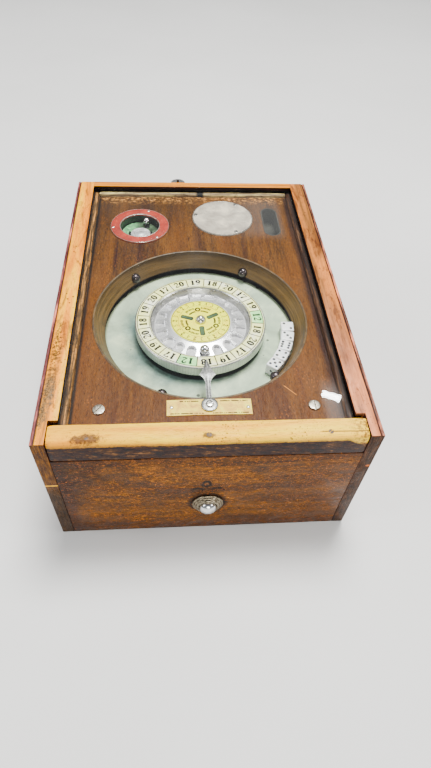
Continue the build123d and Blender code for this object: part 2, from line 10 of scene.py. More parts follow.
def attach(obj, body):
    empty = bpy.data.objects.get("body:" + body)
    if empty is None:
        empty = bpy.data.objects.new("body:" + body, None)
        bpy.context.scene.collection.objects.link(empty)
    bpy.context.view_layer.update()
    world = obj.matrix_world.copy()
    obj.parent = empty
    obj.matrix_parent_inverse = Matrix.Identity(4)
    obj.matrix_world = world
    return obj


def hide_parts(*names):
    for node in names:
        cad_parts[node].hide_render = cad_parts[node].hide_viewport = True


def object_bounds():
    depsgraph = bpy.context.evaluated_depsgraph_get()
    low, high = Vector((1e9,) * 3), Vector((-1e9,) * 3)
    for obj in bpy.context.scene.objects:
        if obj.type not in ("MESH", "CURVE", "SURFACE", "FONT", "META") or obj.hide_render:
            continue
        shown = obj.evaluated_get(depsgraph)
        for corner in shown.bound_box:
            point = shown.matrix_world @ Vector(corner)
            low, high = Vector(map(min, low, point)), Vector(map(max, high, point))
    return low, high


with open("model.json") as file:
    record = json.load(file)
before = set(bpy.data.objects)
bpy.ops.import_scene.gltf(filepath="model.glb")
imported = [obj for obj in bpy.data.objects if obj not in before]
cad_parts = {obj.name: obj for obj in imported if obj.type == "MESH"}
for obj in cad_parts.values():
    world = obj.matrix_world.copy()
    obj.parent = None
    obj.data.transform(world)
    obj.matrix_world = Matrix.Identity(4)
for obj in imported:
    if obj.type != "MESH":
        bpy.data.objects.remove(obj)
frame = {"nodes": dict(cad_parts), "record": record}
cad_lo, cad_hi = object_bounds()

MM = 0.001
NODES = frame["nodes"]
WX, WY = -1.0, -37.0            # axis of the well and the wheel, mm
HX, HY = 139.7, 191.6
BODY_OF = {n: b for b, ns in frame["record"]["behaviour"]["bodies"].items() for n in ns}
SLOT_OF = {s["node"]: s["material_slot"] for s in frame["record"]["subparts"]}


# ============================================================ material language
class Mat:
    """A small wrapper for building one node material; lengths are in metres."""

    def __init__(self, name, **sockets):
        self.m = bpy.data.materials.new(name)
        self.m.use_nodes = True
        self.t = self.m.node_tree
        self.t.nodes.clear()
        self.out = self.t.nodes.new("ShaderNodeOutputMaterial")
        self.b = self.t.nodes.new("ShaderNodeBsdfPrincipled")
        self.t.links.new(self.b.outputs[0], self.out.inputs[0])
        for k, v in sockets.items():
            self.b.inputs[k.replace("_", " ")].default_value = v
        self.tc = self.t.nodes.new("ShaderNodeTexCoord")
        self.geo = self.t.nodes.new("ShaderNodeNewGeometry")
        self.co = self.tc.outputs["Object"]
        self._xyz = self._nrm = self._rad = None

    def node(self, kind, **props):
        n = self.t.nodes.new(kind)
        for k, v in props.items():
            setattr(n, k, v)
        return n

    def put(self, socket, value):
        if isinstance(value, bpy.types.NodeSocket):
            self.t.links.new(value, socket)
        elif value is not None:
            socket.default_value = value

    def scaled(self, scale, vec=None, loc=(0, 0, 0), rot=(0, 0, 0)):
        n = self.node("ShaderNodeMapping")
        self.put(n.inputs["Vector"], vec or self.co)
        n.inputs["Scale"].default_value = scale if hasattr(scale, "__len__") else (scale,) * 3
        n.inputs["Location"].default_value = loc
        n.inputs["Rotation"].default_value = rot
        return n.outputs[0]

    def noise(self, scale, detail=3.0, rough=0.55, dist=0.0, vec=None, loc=(0, 0, 0), out="Fac"):
        n = self.node("ShaderNodeTexNoise")
        self.put(n.inputs["Vector"], self.scaled(scale, vec, loc))
        n.inputs["Scale"].default_value = 1.0
        n.inputs["Detail"].default_value = detail
        n.inputs["Roughness"].default_value = rough
        n.inputs["Distortion"].default_value = dist
        return n.outputs[out]

    def voronoi(self, scale, vec=None, loc=(0, 0, 0), feature="F1", rand=1.0):
        n = self.node("ShaderNodeTexVoronoi", feature=feature)
        self.put(n.inputs["Vector"], self.scaled(scale, vec, loc))
        n.inputs["Scale"].default_value = 1.0
        n.inputs["Randomness"].default_value = rand
        return n.outputs["Distance"]

    def ramp(self, fac, stops, interp="LINEAR"):
        n = self.node("ShaderNodeValToRGB")
        self.put(n.inputs[0], fac)
        r = n.color_ramp
        r.interpolation = interp
        while len(r.elements) > 1:
            r.elements.remove(r.elements[-1])
        first = True
        for p, c in stops:
            c = (c, c, c) if not hasattr(c, "__len__") else tuple(c)
            e = r.elements[0] if first else r.elements.new(p)
            e.position = p
            e.color = c[:3] + (1,)
            first = False
        return n.outputs[0]

    def math(self, op, a, b=None, c=None, clamp=False):
        n = self.node("ShaderNodeMath", operation=op, use_clamp=clamp)
        for i, v in enumerate((a, b, c)):
            if v is not None:
                self.put(n.inputs[i], v)
        return n.outputs[0]

    def step(self, x, lo, hi, a=0.0, b=1.0):
        """a below lo, b above hi, smooth between."""
        n = self.node("ShaderNodeMapRange", interpolation_type="SMOOTHSTEP")
        self.put(n.inputs["Value"], x)
        n.inputs["From Min"].default_value = lo
        n.inputs["From Max"].default_value = hi
        n.inputs["To Min"].default_value = a
        n.inputs["To Max"].default_value = b
        return n.outputs[0]

    def mix(self, fac, a, b, mode="MIX"):
        n = self.node("ShaderNodeMix", data_type="RGBA", blend_type=mode, clamp_factor=True)
        self.put(n.inputs[0], fac)
        for i, v in ((6, a), (7, b)):
            if not isinstance(v, bpy.types.NodeSocket):
                v = (v, v, v) if not hasattr(v, "__len__") else v
                v = tuple(v)[:3] + (1,)
            self.put(n.inputs[i], v)
        return n.outputs[2]

    @property
    def xyz(self):
        if self._xyz is None:
            n = self.node("ShaderNodeSeparateXYZ")
            self.put(n.inputs[0], self.co)
            self._xyz = n.outputs
        return self._xyz

    @property
    def normal(self):
        if self._nrm is None:
            v = self.node("ShaderNodeVectorTransform", vector_type="NORMAL", convert_from="WORLD", convert_to="OBJECT")
            self.put(v.inputs[0], self.geo.outputs["Normal"])
            n = self.node("ShaderNodeSeparateXYZ")
            self.put(n.inputs[0], v.outputs[0])
            self._nrm = n.outputs
        return self._nrm

    def dist_xy(self, x, y, sx=1.0, sy=1.0):
        dx = self.math("MULTIPLY", self.math("SUBTRACT", self.xyz[0], x * MM), sx)
        dy = self.math("MULTIPLY", self.math("SUBTRACT", self.xyz[1], y * MM), sy)
        return self.math("SQRT", self.math("ADD", self.math("MULTIPLY", dx, dx), self.math("MULTIPLY", dy, dy)))

    def dist_xz(self, x, z, sx=1.0, sz=1.0):
        dx = self.math("MULTIPLY", self.math("SUBTRACT", self.xyz[0], x * MM), sx)
        dz = self.math("MULTIPLY", self.math("SUBTRACT", self.xyz[2], z * MM), sz)
        return self.math("SQRT", self.math("ADD", self.math("MULTIPLY", dx, dx), self.math("MULTIPLY", dz, dz)))

    def polar(self, r_keep=1.0):
        """Coordinates (arc length at 60 mm, height, radius) round the wheel's axis."""
        dx = self.math("SUBTRACT", self.xyz[0], WX * MM)
        dy = self.math("SUBTRACT", self.xyz[1], WY * MM)
        a = self.math("MULTIPLY", self.math("ARCTAN2", dy, dx), 0.06)
        r = self.math("SQRT", self.math("ADD", self.math("MULTIPLY", dx, dx), self.math("MULTIPLY", dy, dy)))
        n = self.node("ShaderNodeCombineXYZ")
        self.put(n.inputs[0], a)
        self.put(n.inputs[1], self.xyz[2])
        self.put(n.inputs[2], r)
        return n.outputs[0], r

    def bump(self, height, strength=0.3, dist=0.0003, normal=None):
        n = self.node("ShaderNodeBump")
        n.inputs["Strength"].default_value = strength
        n.inputs["Distance"].default_value = dist
        self.put(n.inputs["Height"], height)
        if normal is not None:
            self.put(n.inputs["Normal"], normal)
        return n.outputs[0]

    def done(self, color=None, rough=None, normal=None, metal=None):
        self.put(self.b.inputs["Base Color"], tuple(color) + (1,) if isinstance(color, tuple) and len(color) == 3 else color)
        self.put(self.b.inputs["Roughness"], rough)
        self.put(self.b.inputs["Normal"], normal)
        self.put(self.b.inputs["Metallic"], metal)
        return self.m


def _mul(m, v):
    return [sum(m[i][j] * v[j] for j in range(3)) for i in range(3)]


_TO = [(0.6274, 0.3293, 0.0433), (0.0691, 0.9195, 0.0113), (0.0164, 0.0880, 0.8956)]
_FROM = [(1.6605, -0.5876, -0.0728), (-0.1246, 1.1329, -0.0083), (-0.0182, -0.1006, 1.1187)]
_IN = [(0.856627, 0.095121, 0.048252), (0.137319, 0.761242, 0.101439), (0.111898, 0.076799, 0.811302)]
_OUT = [(1.127101, -0.110607, -0.016494), (-0.141330, 1.157824, -0.016494), (-0.141330, -0.110607, 1.251936)]
_SEEN = [(0, 0), (18, 18), (42, 50), (58, 70), (87, 100), (118, 128), (145, 152), (170, 174), (189, 194), (197, 202),
         (209, 215), (217, 224), (227, 233), (233, 239), (241, 245), (255, 255)]


def _shown(c):
    """How a scene colour comes out on the screen, near enough, 0 to 1 per channel."""
    v = _mul(_IN, _mul(_TO, c))
    o = []
    for x in v:
        x = min(1.0, max(0.0, (math.log2(max(x, 1e-10)) + 12.47393) / 16.5))
        x2 = x * x
        x4 = x2 * x2
        o.append(15.5 * x4 * x2 - 40.14 * x4 * x + 31.96 * x4 - 6.868 * x2 * x + 0.4298 * x2 + 0.1191 * x - 0.00232)
    v = _mul(_FROM, [max(0.0, x) ** 2.2 for x in _mul(_OUT, o)])
    return [12.92 * max(0, x) if x <= 0.0031308 else 1.055 * x ** (1 / 2.4) - 0.055 for x in v]


_KNOWN = {}


def srgb(r, g, b, e=3.1):
    """Surface colour that looks like r, g, b where white would come out at e times diffuse white."""
    key = (r, g, b, e)
    if key in _KNOWN:
        return _KNOWN[key]
    want = []
    for c in (r, g, b):
        for (a0, b0), (a1, b1) in zip(_SEEN, _SEEN[1:]):
            if c <= a1:
                want.append((b0 + (b1 - b0) * (c - a0) / (a1 - a0)) / 255)
                break
    lin = lambda c: c / 12.92 if c <= 0.04045 else ((c + 0.055) / 1.055) ** 2.4
    target = [max(1e-4, lin(c)) for c in want]
    c = list(target)
    for _ in range(60):
        got = [max(1e-5, lin(max(0.0, x))) for x in _shown(c)]
        c = [min(20.0, max(4e-4, x * (t / q) ** 0.55)) for x, t, q in zip(c, target, got)]
    c = [x / e - 0.012 for x in c]
    top = max(c)
    if top > 0.90:
        c = [x * (0.90 / top) ** 0.3 for x in c]
    out = tuple(min(0.92, max(0.0015, x)) for x in c)
    _KNOWN[key] = out
    return out


def fsrgb(r, g, b):
    """The same for upright faces, which are lit less."""
    return srgb(r, g, b, 1.85)


def gsrgb(r, g, b):
    """The same for what lies under the glass."""
    return srgb(r, g, b, 2.85)


def grain_scale(axis, along, across):
    s = [across] * 3
    s[axis] = along
    return tuple(s)


def wood_layers(M, axis, light, mid, dark, seed=0.0, pores=0.5, fib=0.5):
    """Base colour and height of a plain-sawn board with its grain along one axis."""
    o = (seed, seed * 1.7, seed * 0.6)
    bands = M.noise(grain_scale(axis, 5, 95), 4, 0.6, 0.9, loc=o)
    base = M.ramp(bands, [(0.30, dark), (0.46, mid), (0.66, light)])
    fibre = M.noise(grain_scale(axis, 45, 700), 3, 0.65, loc=o)
    base = M.mix(fib, base, M.ramp(fibre, [(0.3, 0.5), (0.5, 1.0), (0.75, 1.35)]), "MULTIPLY")
    pore = M.noise(grain_scale(axis, 130, 1500), 2, 0.6, loc=o)
    pmask = M.ramp(pore, [(0.57, 0.0), (0.66, 1.0)])
    base = M.mix(M.math("MULTIPLY", pmask, pores), base, tuple(c * 0.35 for c in dark))
    height = M.math("SUBTRACT", M.math("MULTIPLY", fibre, 0.5), M.math("MULTIPLY", pmask, 0.5))
    return base, height, fibre, pmask


def speckle(M, color, size, amount, tint, seed=0.0, density=0.5):
    """Small dark dents and flecks of uneven size."""
    v = M.voronoi(1.0 / size, loc=(seed, seed, seed))
    dots = M.step(v, 0.12, 0.26, 1.0, 0.0)
    where = M.ramp(M.noise(28, 3, 0.6, loc=(seed + 3, seed, 0)), [(density, 0.0), (density + 0.12, 1.0)])
    k = M.math("MULTIPLY", M.math("MULTIPLY", dots, where), amount)
    return M.mix(k, color, tint), k


# ------------------------------------------------------------------ wood looks
def side_wood(name, s):
    M = Mat(name, Specular_IOR_Level=0.16)
    if s < 0:
        light, mid, dark = srgb(250, 218, 142), srgb(238, 200, 122), srgb(196, 144, 76)
    else:
        light, mid, dark = srgb(222, 180, 136), srgb(198, 154, 110), srgb(138, 94, 60)
    top, h, fibre, pm = wood_layers(M, 1, light, mid, dark, seed=2.0 + s, pores=0.3, fib=0.35)
    near = M.step(M.xyz[1], -0.14, 0.02, 1.0, 0.0)
    if s > 0:
        top = M.mix(M.math("MULTIPLY", near, 0.6), top, M.ramp(M.noise((120, 14, 120), 4, 0.6), [(0.35, srgb(196, 146, 122)), (0.6, srgb(236, 200, 178))]))
        brown = M.ramp(M.noise((70, 14, 70), 4, 0.65, 0.5, loc=(7, 3, 0)), [(0.50, 0.0), (0.62, 0.8)])
        far = M.step(M.xyz[1], -0.12, 0.06)
        top = M.mix(M.math("MULTIPLY", brown, far), top, srgb(150, 92, 58))
    else:
        amber = M.ramp(M.noise((60, 12, 60), 4, 0.6, 0.5, loc=(4, 3, 0)), [(0.46, 0.0), (0.64, 0.8)])
        top = M.mix(amber, top, srgb(226, 172, 92))
    top, k1 = speckle(M, top, 0.0045, 0.85, srgb(96, 58, 34), seed=s * 4, density=0.50)
    top, k2 = speckle(M, top, 0.0022, 0.7, srgb(80, 50, 32), seed=s * 9, density=0.47)
    blot = M.ramp(M.noise((90, 24, 90), 5, 0.7, 0.8, loc=(s, 0, 2)), [(0.56, 0.0), (0.64, 1.0)])
    top = M.mix(M.math("MULTIPLY", blot, 0.6), top, srgb(140, 88, 48) if s < 0 else srgb(110, 62, 42))
    if s < 0:
        # grey bruised patch near the front of the left board, and a streak of dirt behind it
        wob = M.math("MULTIPLY", M.math("SUBTRACT", M.noise(170, 5, 0.75), 0.5), 0.024)
        d = M.math("ADD", M.dist_xy(-131.5, -139.0, 1.5, 0.34), wob)
        patch = M.step(d, 0.0035, 0.0105, 1.0, 0.0)
        d2 = M.math("ADD", M.dist_xy(-131.0, -92.0, 1.7, 0.24), wob)
        patch2 = M.step(d2, 0.003, 0.0115, 1.0, 0.0)
        d3 = M.math("ADD", M.dist_xy(-134.0, -163.0, 1.9, 0.5), wob)
        patch3 = M.step(d3, 0.003, 0.009, 1.0, 0.0)
        grey = M.ramp(M.noise(620, 4, 0.75), [(0.36, srgb(96, 76, 58)), (0.52, srgb(168, 146, 118)), (0.68, srgb(214, 182, 134))])
        top = M.mix(M.math("MULTIPLY", M.math("MAXIMUM", patch, patch3), 0.92), top, grey)
        grit = M.ramp(M.noise(480, 4, 0.7, loc=(4, 1, 0)), [(0.42, 0.0), (0.56, 0.95)])
        top = M.mix(M.math("MULTIPLY", patch2, grit), top, srgb(122, 88, 58))
    # rounded outer strip beside the quirk: red-brown varnish rubbed pale
    edge_x = M.math("MULTIPLY", M.xyz[0], float(s))
    strip = M.step(edge_x, 0.1366, 0.1370)
    strip_c = M.ramp(M.noise((260, 30, 260), 4, 0.65, loc=(0, s, 0)),
                     [(0.36, srgb(120, 70, 66)), (0.52, srgb(176, 116, 112)), (0.70, srgb(232, 196, 184))] if s < 0 else
                     [(0.36, srgb(110, 70, 56)), (0.52, srgb(168, 118, 100)), (0.70, srgb(232, 196, 178))])
    top = M.mix(strip, top, strip_c)
    quirk = M.math("MULTIPLY", M.step(edge_x, 0.1356, 0.1360), M.step(edge_x, 0.1370, 0.1374, 1.0, 0.0))
    top = M.mix(M.math("MULTIPLY", quirk, 0.8 if s < 0 else 0.92), top, srgb(66, 40, 34) if s < 0 else srgb(70, 36, 26))
    # upright faces: old dark varnish, worn to gold in streaks
    up, h2, f2, p2 = wood_layers(M, 1, fsrgb(166, 104, 54), fsrgb(126, 76, 38), fsrgb(78, 46, 26), seed=5.0 + s, pores=0.6)
    wear = M.ramp(M.noise((90, 30, 90), 5, 0.7, 1.0, loc=(s, 5, 1)), [(0.54, 0.0), (0.66, 1.0)])
    up = M.mix(M.math("MULTIPLY", wear, 0.6), up, fsrgb(190, 128, 66))
    low = M.step(M.xyz[2], 0.0, 0.03, 1.0, 0.0)
    up = M.mix(M.math("MULTIPLY", low, 0.5), up, fsrgb(54, 32, 20))
    high = M.step(M.xyz[2], 0.138, 0.151)
    up = M.mix(M.math("MULTIPLY", high, 0.55), up, fsrgb(150, 84, 70))
    front = M.step(M.normal[1], -0.75, -0.5, 1.0, 0.0)
    grainy = M.noise((700, 700, 90), 4, 0.7, loc=(2, 2, s))
    end = M.ramp(grainy, [(0.34, fsrgb(76, 46, 26)), (0.52, fsrgb(128, 82, 42)), (0.7, fsrgb(176, 120, 64))] if s < 0 else
                 [(0.34, fsrgb(44, 26, 18)), (0.52, fsrgb(84, 54, 38)), (0.72, fsrgb(140, 96, 70))])
    if s < 0:
        fade = M.step(M.xyz[2], 0.07, 0.096, 0.85, 0.0)
        end = M.mix(fade, end, M.ramp(grainy, [(0.34, fsrgb(40, 28, 22)), (0.6, fsrgb(84, 62, 46))]))
        line = M.math("MULTIPLY", M.step(M.xyz[2], 0.0896, 0.0899), M.step(M.xyz[2], 0.0913, 0.0916, 1.0, 0.0))
        end = M.mix(line, end, fsrgb(250, 206, 160))
    else:
        chip = M.step(M.math("ADD", M.dist_xz(137.4, 108.0, 1.0, 1.4), M.math("MULTIPLY", M.noise(900), 0.002)), 0.002, 0.0036, 1.0, 0.0)
        end = M.mix(chip, end, fsrgb(206, 140, 84))
        pale = M.math("MULTIPLY", M.step(edge_x, 0.1286, 0.1292, 1.0, 0.0), M.step(M.xyz[2], 0.02, 0.1))
        end = M.mix(M.math("MULTIPLY", pale, 0.6), end, fsrgb(170, 124, 100))
    col = M.mix(front, up, end)
    # inner wall above the playfield, painted dark as shade, and the groove the glass runs in, painted black as shadow
    inner = M.step(M.math("MULTIPLY", M.normal[0], float(s)), -0.7, -0.5, 1.0, 0.0)
    innerc = M.ramp(M.noise((300, 20, 300), 3, 0.6), [(0.35, srgb(44, 20, 13)), (0.65, srgb(96, 52, 34))])
    col = M.mix(inner, col, innerc)
    groove = M.math("MULTIPLY", M.math("MULTIPLY", M.step(M.xyz[2], 0.14605, 0.14615), M.step(M.xyz[2], 0.14985, 0.14995, 1.0, 0.0)),
                    M.step(edge_x, 0.12075, 0.1209))
    groove = M.math("MULTIPLY", groove, M.step(edge_x, 0.1262, 0.1264, 1.0, 0.0))
    col = M.mix(groove, col, (0.004, 0.003, 0.002))
    up_mask = M.step(M.normal[2], 0.45, 0.8)
    col = M.mix(up_mask, col, top)
    # painted shade: upward faces below the lip, such as the floor of the glass groove, are made dark
    deep = M.step(M.xyz[2], 0.1500, 0.1512)
    col = M.mix(M.math("MULTIPLY", up_mask, M.math("SUBTRACT", 1.0, deep)), col, srgb(40, 22, 14))
    rough = M.ramp(M.noise(45, 4, 0.6), [(0.3, 0.36), (0.7, 0.62)])
    hh = M.math("ADD", h, M.math("MULTIPLY", M.math("ADD", k1, M.math("MULTIPLY", blot, 0.5)), -1.4))
    return M.done(col, rough, M.bump(hh, 0.6, 0.0005))


def back_wood():
    M = Mat("wood_back", Specular_IOR_Level=0.16)
    top, h, f, p = wood_layers(M, 0, srgb(242, 204, 146), srgb(224, 180, 122), srgb(176, 124, 76), seed=8, pores=0.3, fib=0.35)
    top, k = speckle(M, top, 0.0036, 0.8, srgb(110, 70, 42), seed=3, density=0.50)
    notch = M.step(M.math("ABSOLUTE", M.math("SUBTRACT", M.xyz[0], 0.003)), 0.004, 0.008, 1.0, 0.0)
    rear = M.step(M.xyz[1], 0.1868, 0.1876)
    top = M.mix(M.math("MULTIPLY", M.math("SUBTRACT", 1.0, rear), 0.25), top, srgb(150, 100, 60))
    up, h2, f2, p2 = wood_layers(M, 0, fsrgb(150, 94, 54), fsrgb(116, 70, 40), fsrgb(74, 44, 26), seed=11, pores=0.5)
    wear = M.ramp(M.noise((30, 90, 90), 5, 0.7, 1.0, loc=(1, 5, 1)), [(0.56, 0.0), (0.68, 1.0)])
    up = M.mix(M.math("MULTIPLY", wear, 0.5), up, fsrgb(184, 126, 70))
    col = M.mix(M.step(M.normal[2], 0.45, 0.8), up, top)
    # painted shade: the inner face above the playfield is made dark
    innerf = M.math("MULTIPLY", M.step(M.normal[1], -0.7, -0.5, 1.0, 0.0), M.step(M.xyz[2], 0.130, 0.131))
    col = M.mix(innerf, col, M.ramp(M.noise((25, 300, 300), 3), [(0.35, srgb(30, 16, 10)), (0.65, srgb(84, 50, 32))]))
    # painted shadow: the groove the glass runs in is made black
    g = M.math("MULTIPLY", M.math("MULTIPLY", M.step(M.xyz[2], 0.14605, 0.14615), M.step(M.xyz[2], 0.14985, 0.14995, 1.0, 0.0)),
               M.step(M.xyz[1], 0.1860, 0.1862, 1.0, 0.0))
    col = M.mix(g, col, (0.004, 0.003, 0.002))
    rough = M.ramp(M.noise(45, 4, 0.6), [(0.3, 0.38), (0.7, 0.65)])
    return M.done(col, rough, M.bump(M.math("ADD", h, M.math("MULTIPLY", k, -1.2)), 0.55, 0.0005))


def rail_wood():
    M = Mat("wood_rail", Specular_IOR_Level=0.16)
    top, h, f, p = wood_layers(M, 0, srgb(252, 226, 172), srgb(247, 214, 150), srgb(226, 180, 112), seed=14, pores=0.22, fib=0.3)
    # warm and honey-coloured at the left, paler towards the right
    warm = M.step(M.xyz[0], -0.13, 0.03, 0.65, 0.0)
    top = M.mix(warm, top, M.ramp(M.noise((14, 200, 200), 3), [(0.35, srgb(226, 180, 106)), (0.65, srgb(246, 210, 138))]))
    pale = M.step(M.xyz[0], 0.02, 0.10, 0.0, 0.45)
    top = M.mix(pale, top, srgb(250, 222, 190))
    top, k = speckle(M, top, 0.0034, 0.8, srgb(140, 92, 52), seed=5, density=0.49)
    top, k2 = speckle(M, top, 0.0018, 0.65, srgb(112, 74, 46), seed=8, density=0.46)
    wob = M.math("MULTIPLY", M.math("SUBTRACT", M.noise(260, 5, 0.75), 0.5), 0.014)
    st = M.step(M.math("ADD", M.dist_xy(-97.5, -186.6, 0.42, 1.2), wob), 0.0032, 0.0066, 1.0, 0.0)
    stc = M.ramp(M.noise((500, 900, 900), 3, 0.7), [(0.4, srgb(86, 58, 48)), (0.6, srgb(164, 124, 100))])
    top = M.mix(M.math("MULTIPLY", st, 0.88), top, stc)
    st2 = M.step(M.math("ADD", M.dist_xy(-1.2, -186.3, 0.5, 1.2), M.math("MULTIPLY", wob, 0.5)), 0.0022, 0.0036, 1.0, 0.0)
    top = M.mix(M.math("MULTIPLY", st2, 0.8), top, srgb(110, 78, 56))
    # crack that runs from the right-hand screw to the end of the rail
    crack_y = M.math("ADD", -0.1858, M.math("MULTIPLY", M.math("SUBTRACT", M.noise((90, 0, 0), 3), 0.5), 0.0022))
    cd = M.math("ABSOLUTE", M.math("SUBTRACT", M.xyz[1], crack_y))
    crack = M.math("MULTIPLY", M.step(cd, 0.00025, 0.0007, 1.0, 0.0), M.step(M.xyz[0], 0.086, 0.092))
    top = M.mix(M.math("MULTIPLY", crack, 0.75), top, srgb(110, 78, 52))
    # right corner grime
    cg = M.math("MULTIPLY", M.step(M.xyz[0], 0.108, 0.126), M.ramp(M.noise(320, 4, 0.75), [(0.44, 0.0), (0.58, 0.9)]))
    top = M.mix(cg, top, srgb(176, 128, 84))
    # front face: almost black band of handling dirt, with red-brown wood showing through
    dirt = M.ramp(M.noise((110, 300, 300), 5, 0.75, 0.5, loc=(1, 2, 3)),
                  [(0.36, fsrgb(26, 17, 13)), (0.48, fsrgb(58, 36, 24)), (0.58, fsrgb(96, 62, 38)), (0.70, fsrgb(176, 128, 84))])
    # height of the boundary between the gold edge and the dirt, uneven along the rail
    edge = M.math("ADD", 0.1474, M.math("MULTIPLY", M.math("SUBTRACT", M.noise((22, 0, 0), 4, 0.6, loc=(3, 0, 0)), 0.5), 0.0045))
    edge = M.math("ADD", edge, M.math("MULTIPLY", M.math("SUBTRACT", M.noise((380, 0, 380), 4, 0.8), 0.5), 0.0036))
    # at the right-hand end the gold runs further down the face
    edge = M.math("SUBTRACT", edge, M.step(M.xyz[0], 0.110, 0.122, 0.0, 0.0055))
    dz = M.math("SUBTRACT", M.xyz[2], edge)
    is_top = M.step(dz, -0.0006, 0.0006)
    is_top = M.math("MAXIMUM", is_top, M.step(M.normal[1], -0.12, 0.0))
    rim_dark = M.math("MULTIPLY", M.step(dz, 0.0, 0.0034, 1.0, 0.0), is_top)
    olive = M.ramp(M.noise(500, 4, 0.7), [(0.4, srgb(150, 110, 56)), (0.6, srgb(212, 168, 100))])
    top = M.mix(M.math("MULTIPLY", rim_dark, 0.7), top, olive)
    col = M.mix(is_top, dirt, top)
    seam = M.step(M.xyz[2], 0.1290, 0.1299, 1.0, 0.0)
    seamc = M.ramp(M.noise((70, 0, 0), 4, 0.7, loc=(5, 0, 0)), [(0.45, fsrgb(84, 42, 34)), (0.6, fsrgb(206, 160, 120))])
    col = M.mix(M.math("MULTIPLY", seam, 0.8), col, seamc)
    ends = M.step(M.math("ABSOLUTE", M.normal[0]), 0.6, 0.85)
    col = M.mix(M.math("MULTIPLY", ends, 0.8), col, fsrgb(84, 54, 34))
    rough = M.mix(is_top, 0.45, M.ramp(M.noise(50, 4, 0.6), [(0.3, 0.4), (0.7, 0.6)]))
    hh = M.math("ADD", h, M.math("MULTIPLY", M.math("ADD", k, crack), -1.5))
    return M.done(col, rough, M.bump(hh, 0.6, 0.0005))


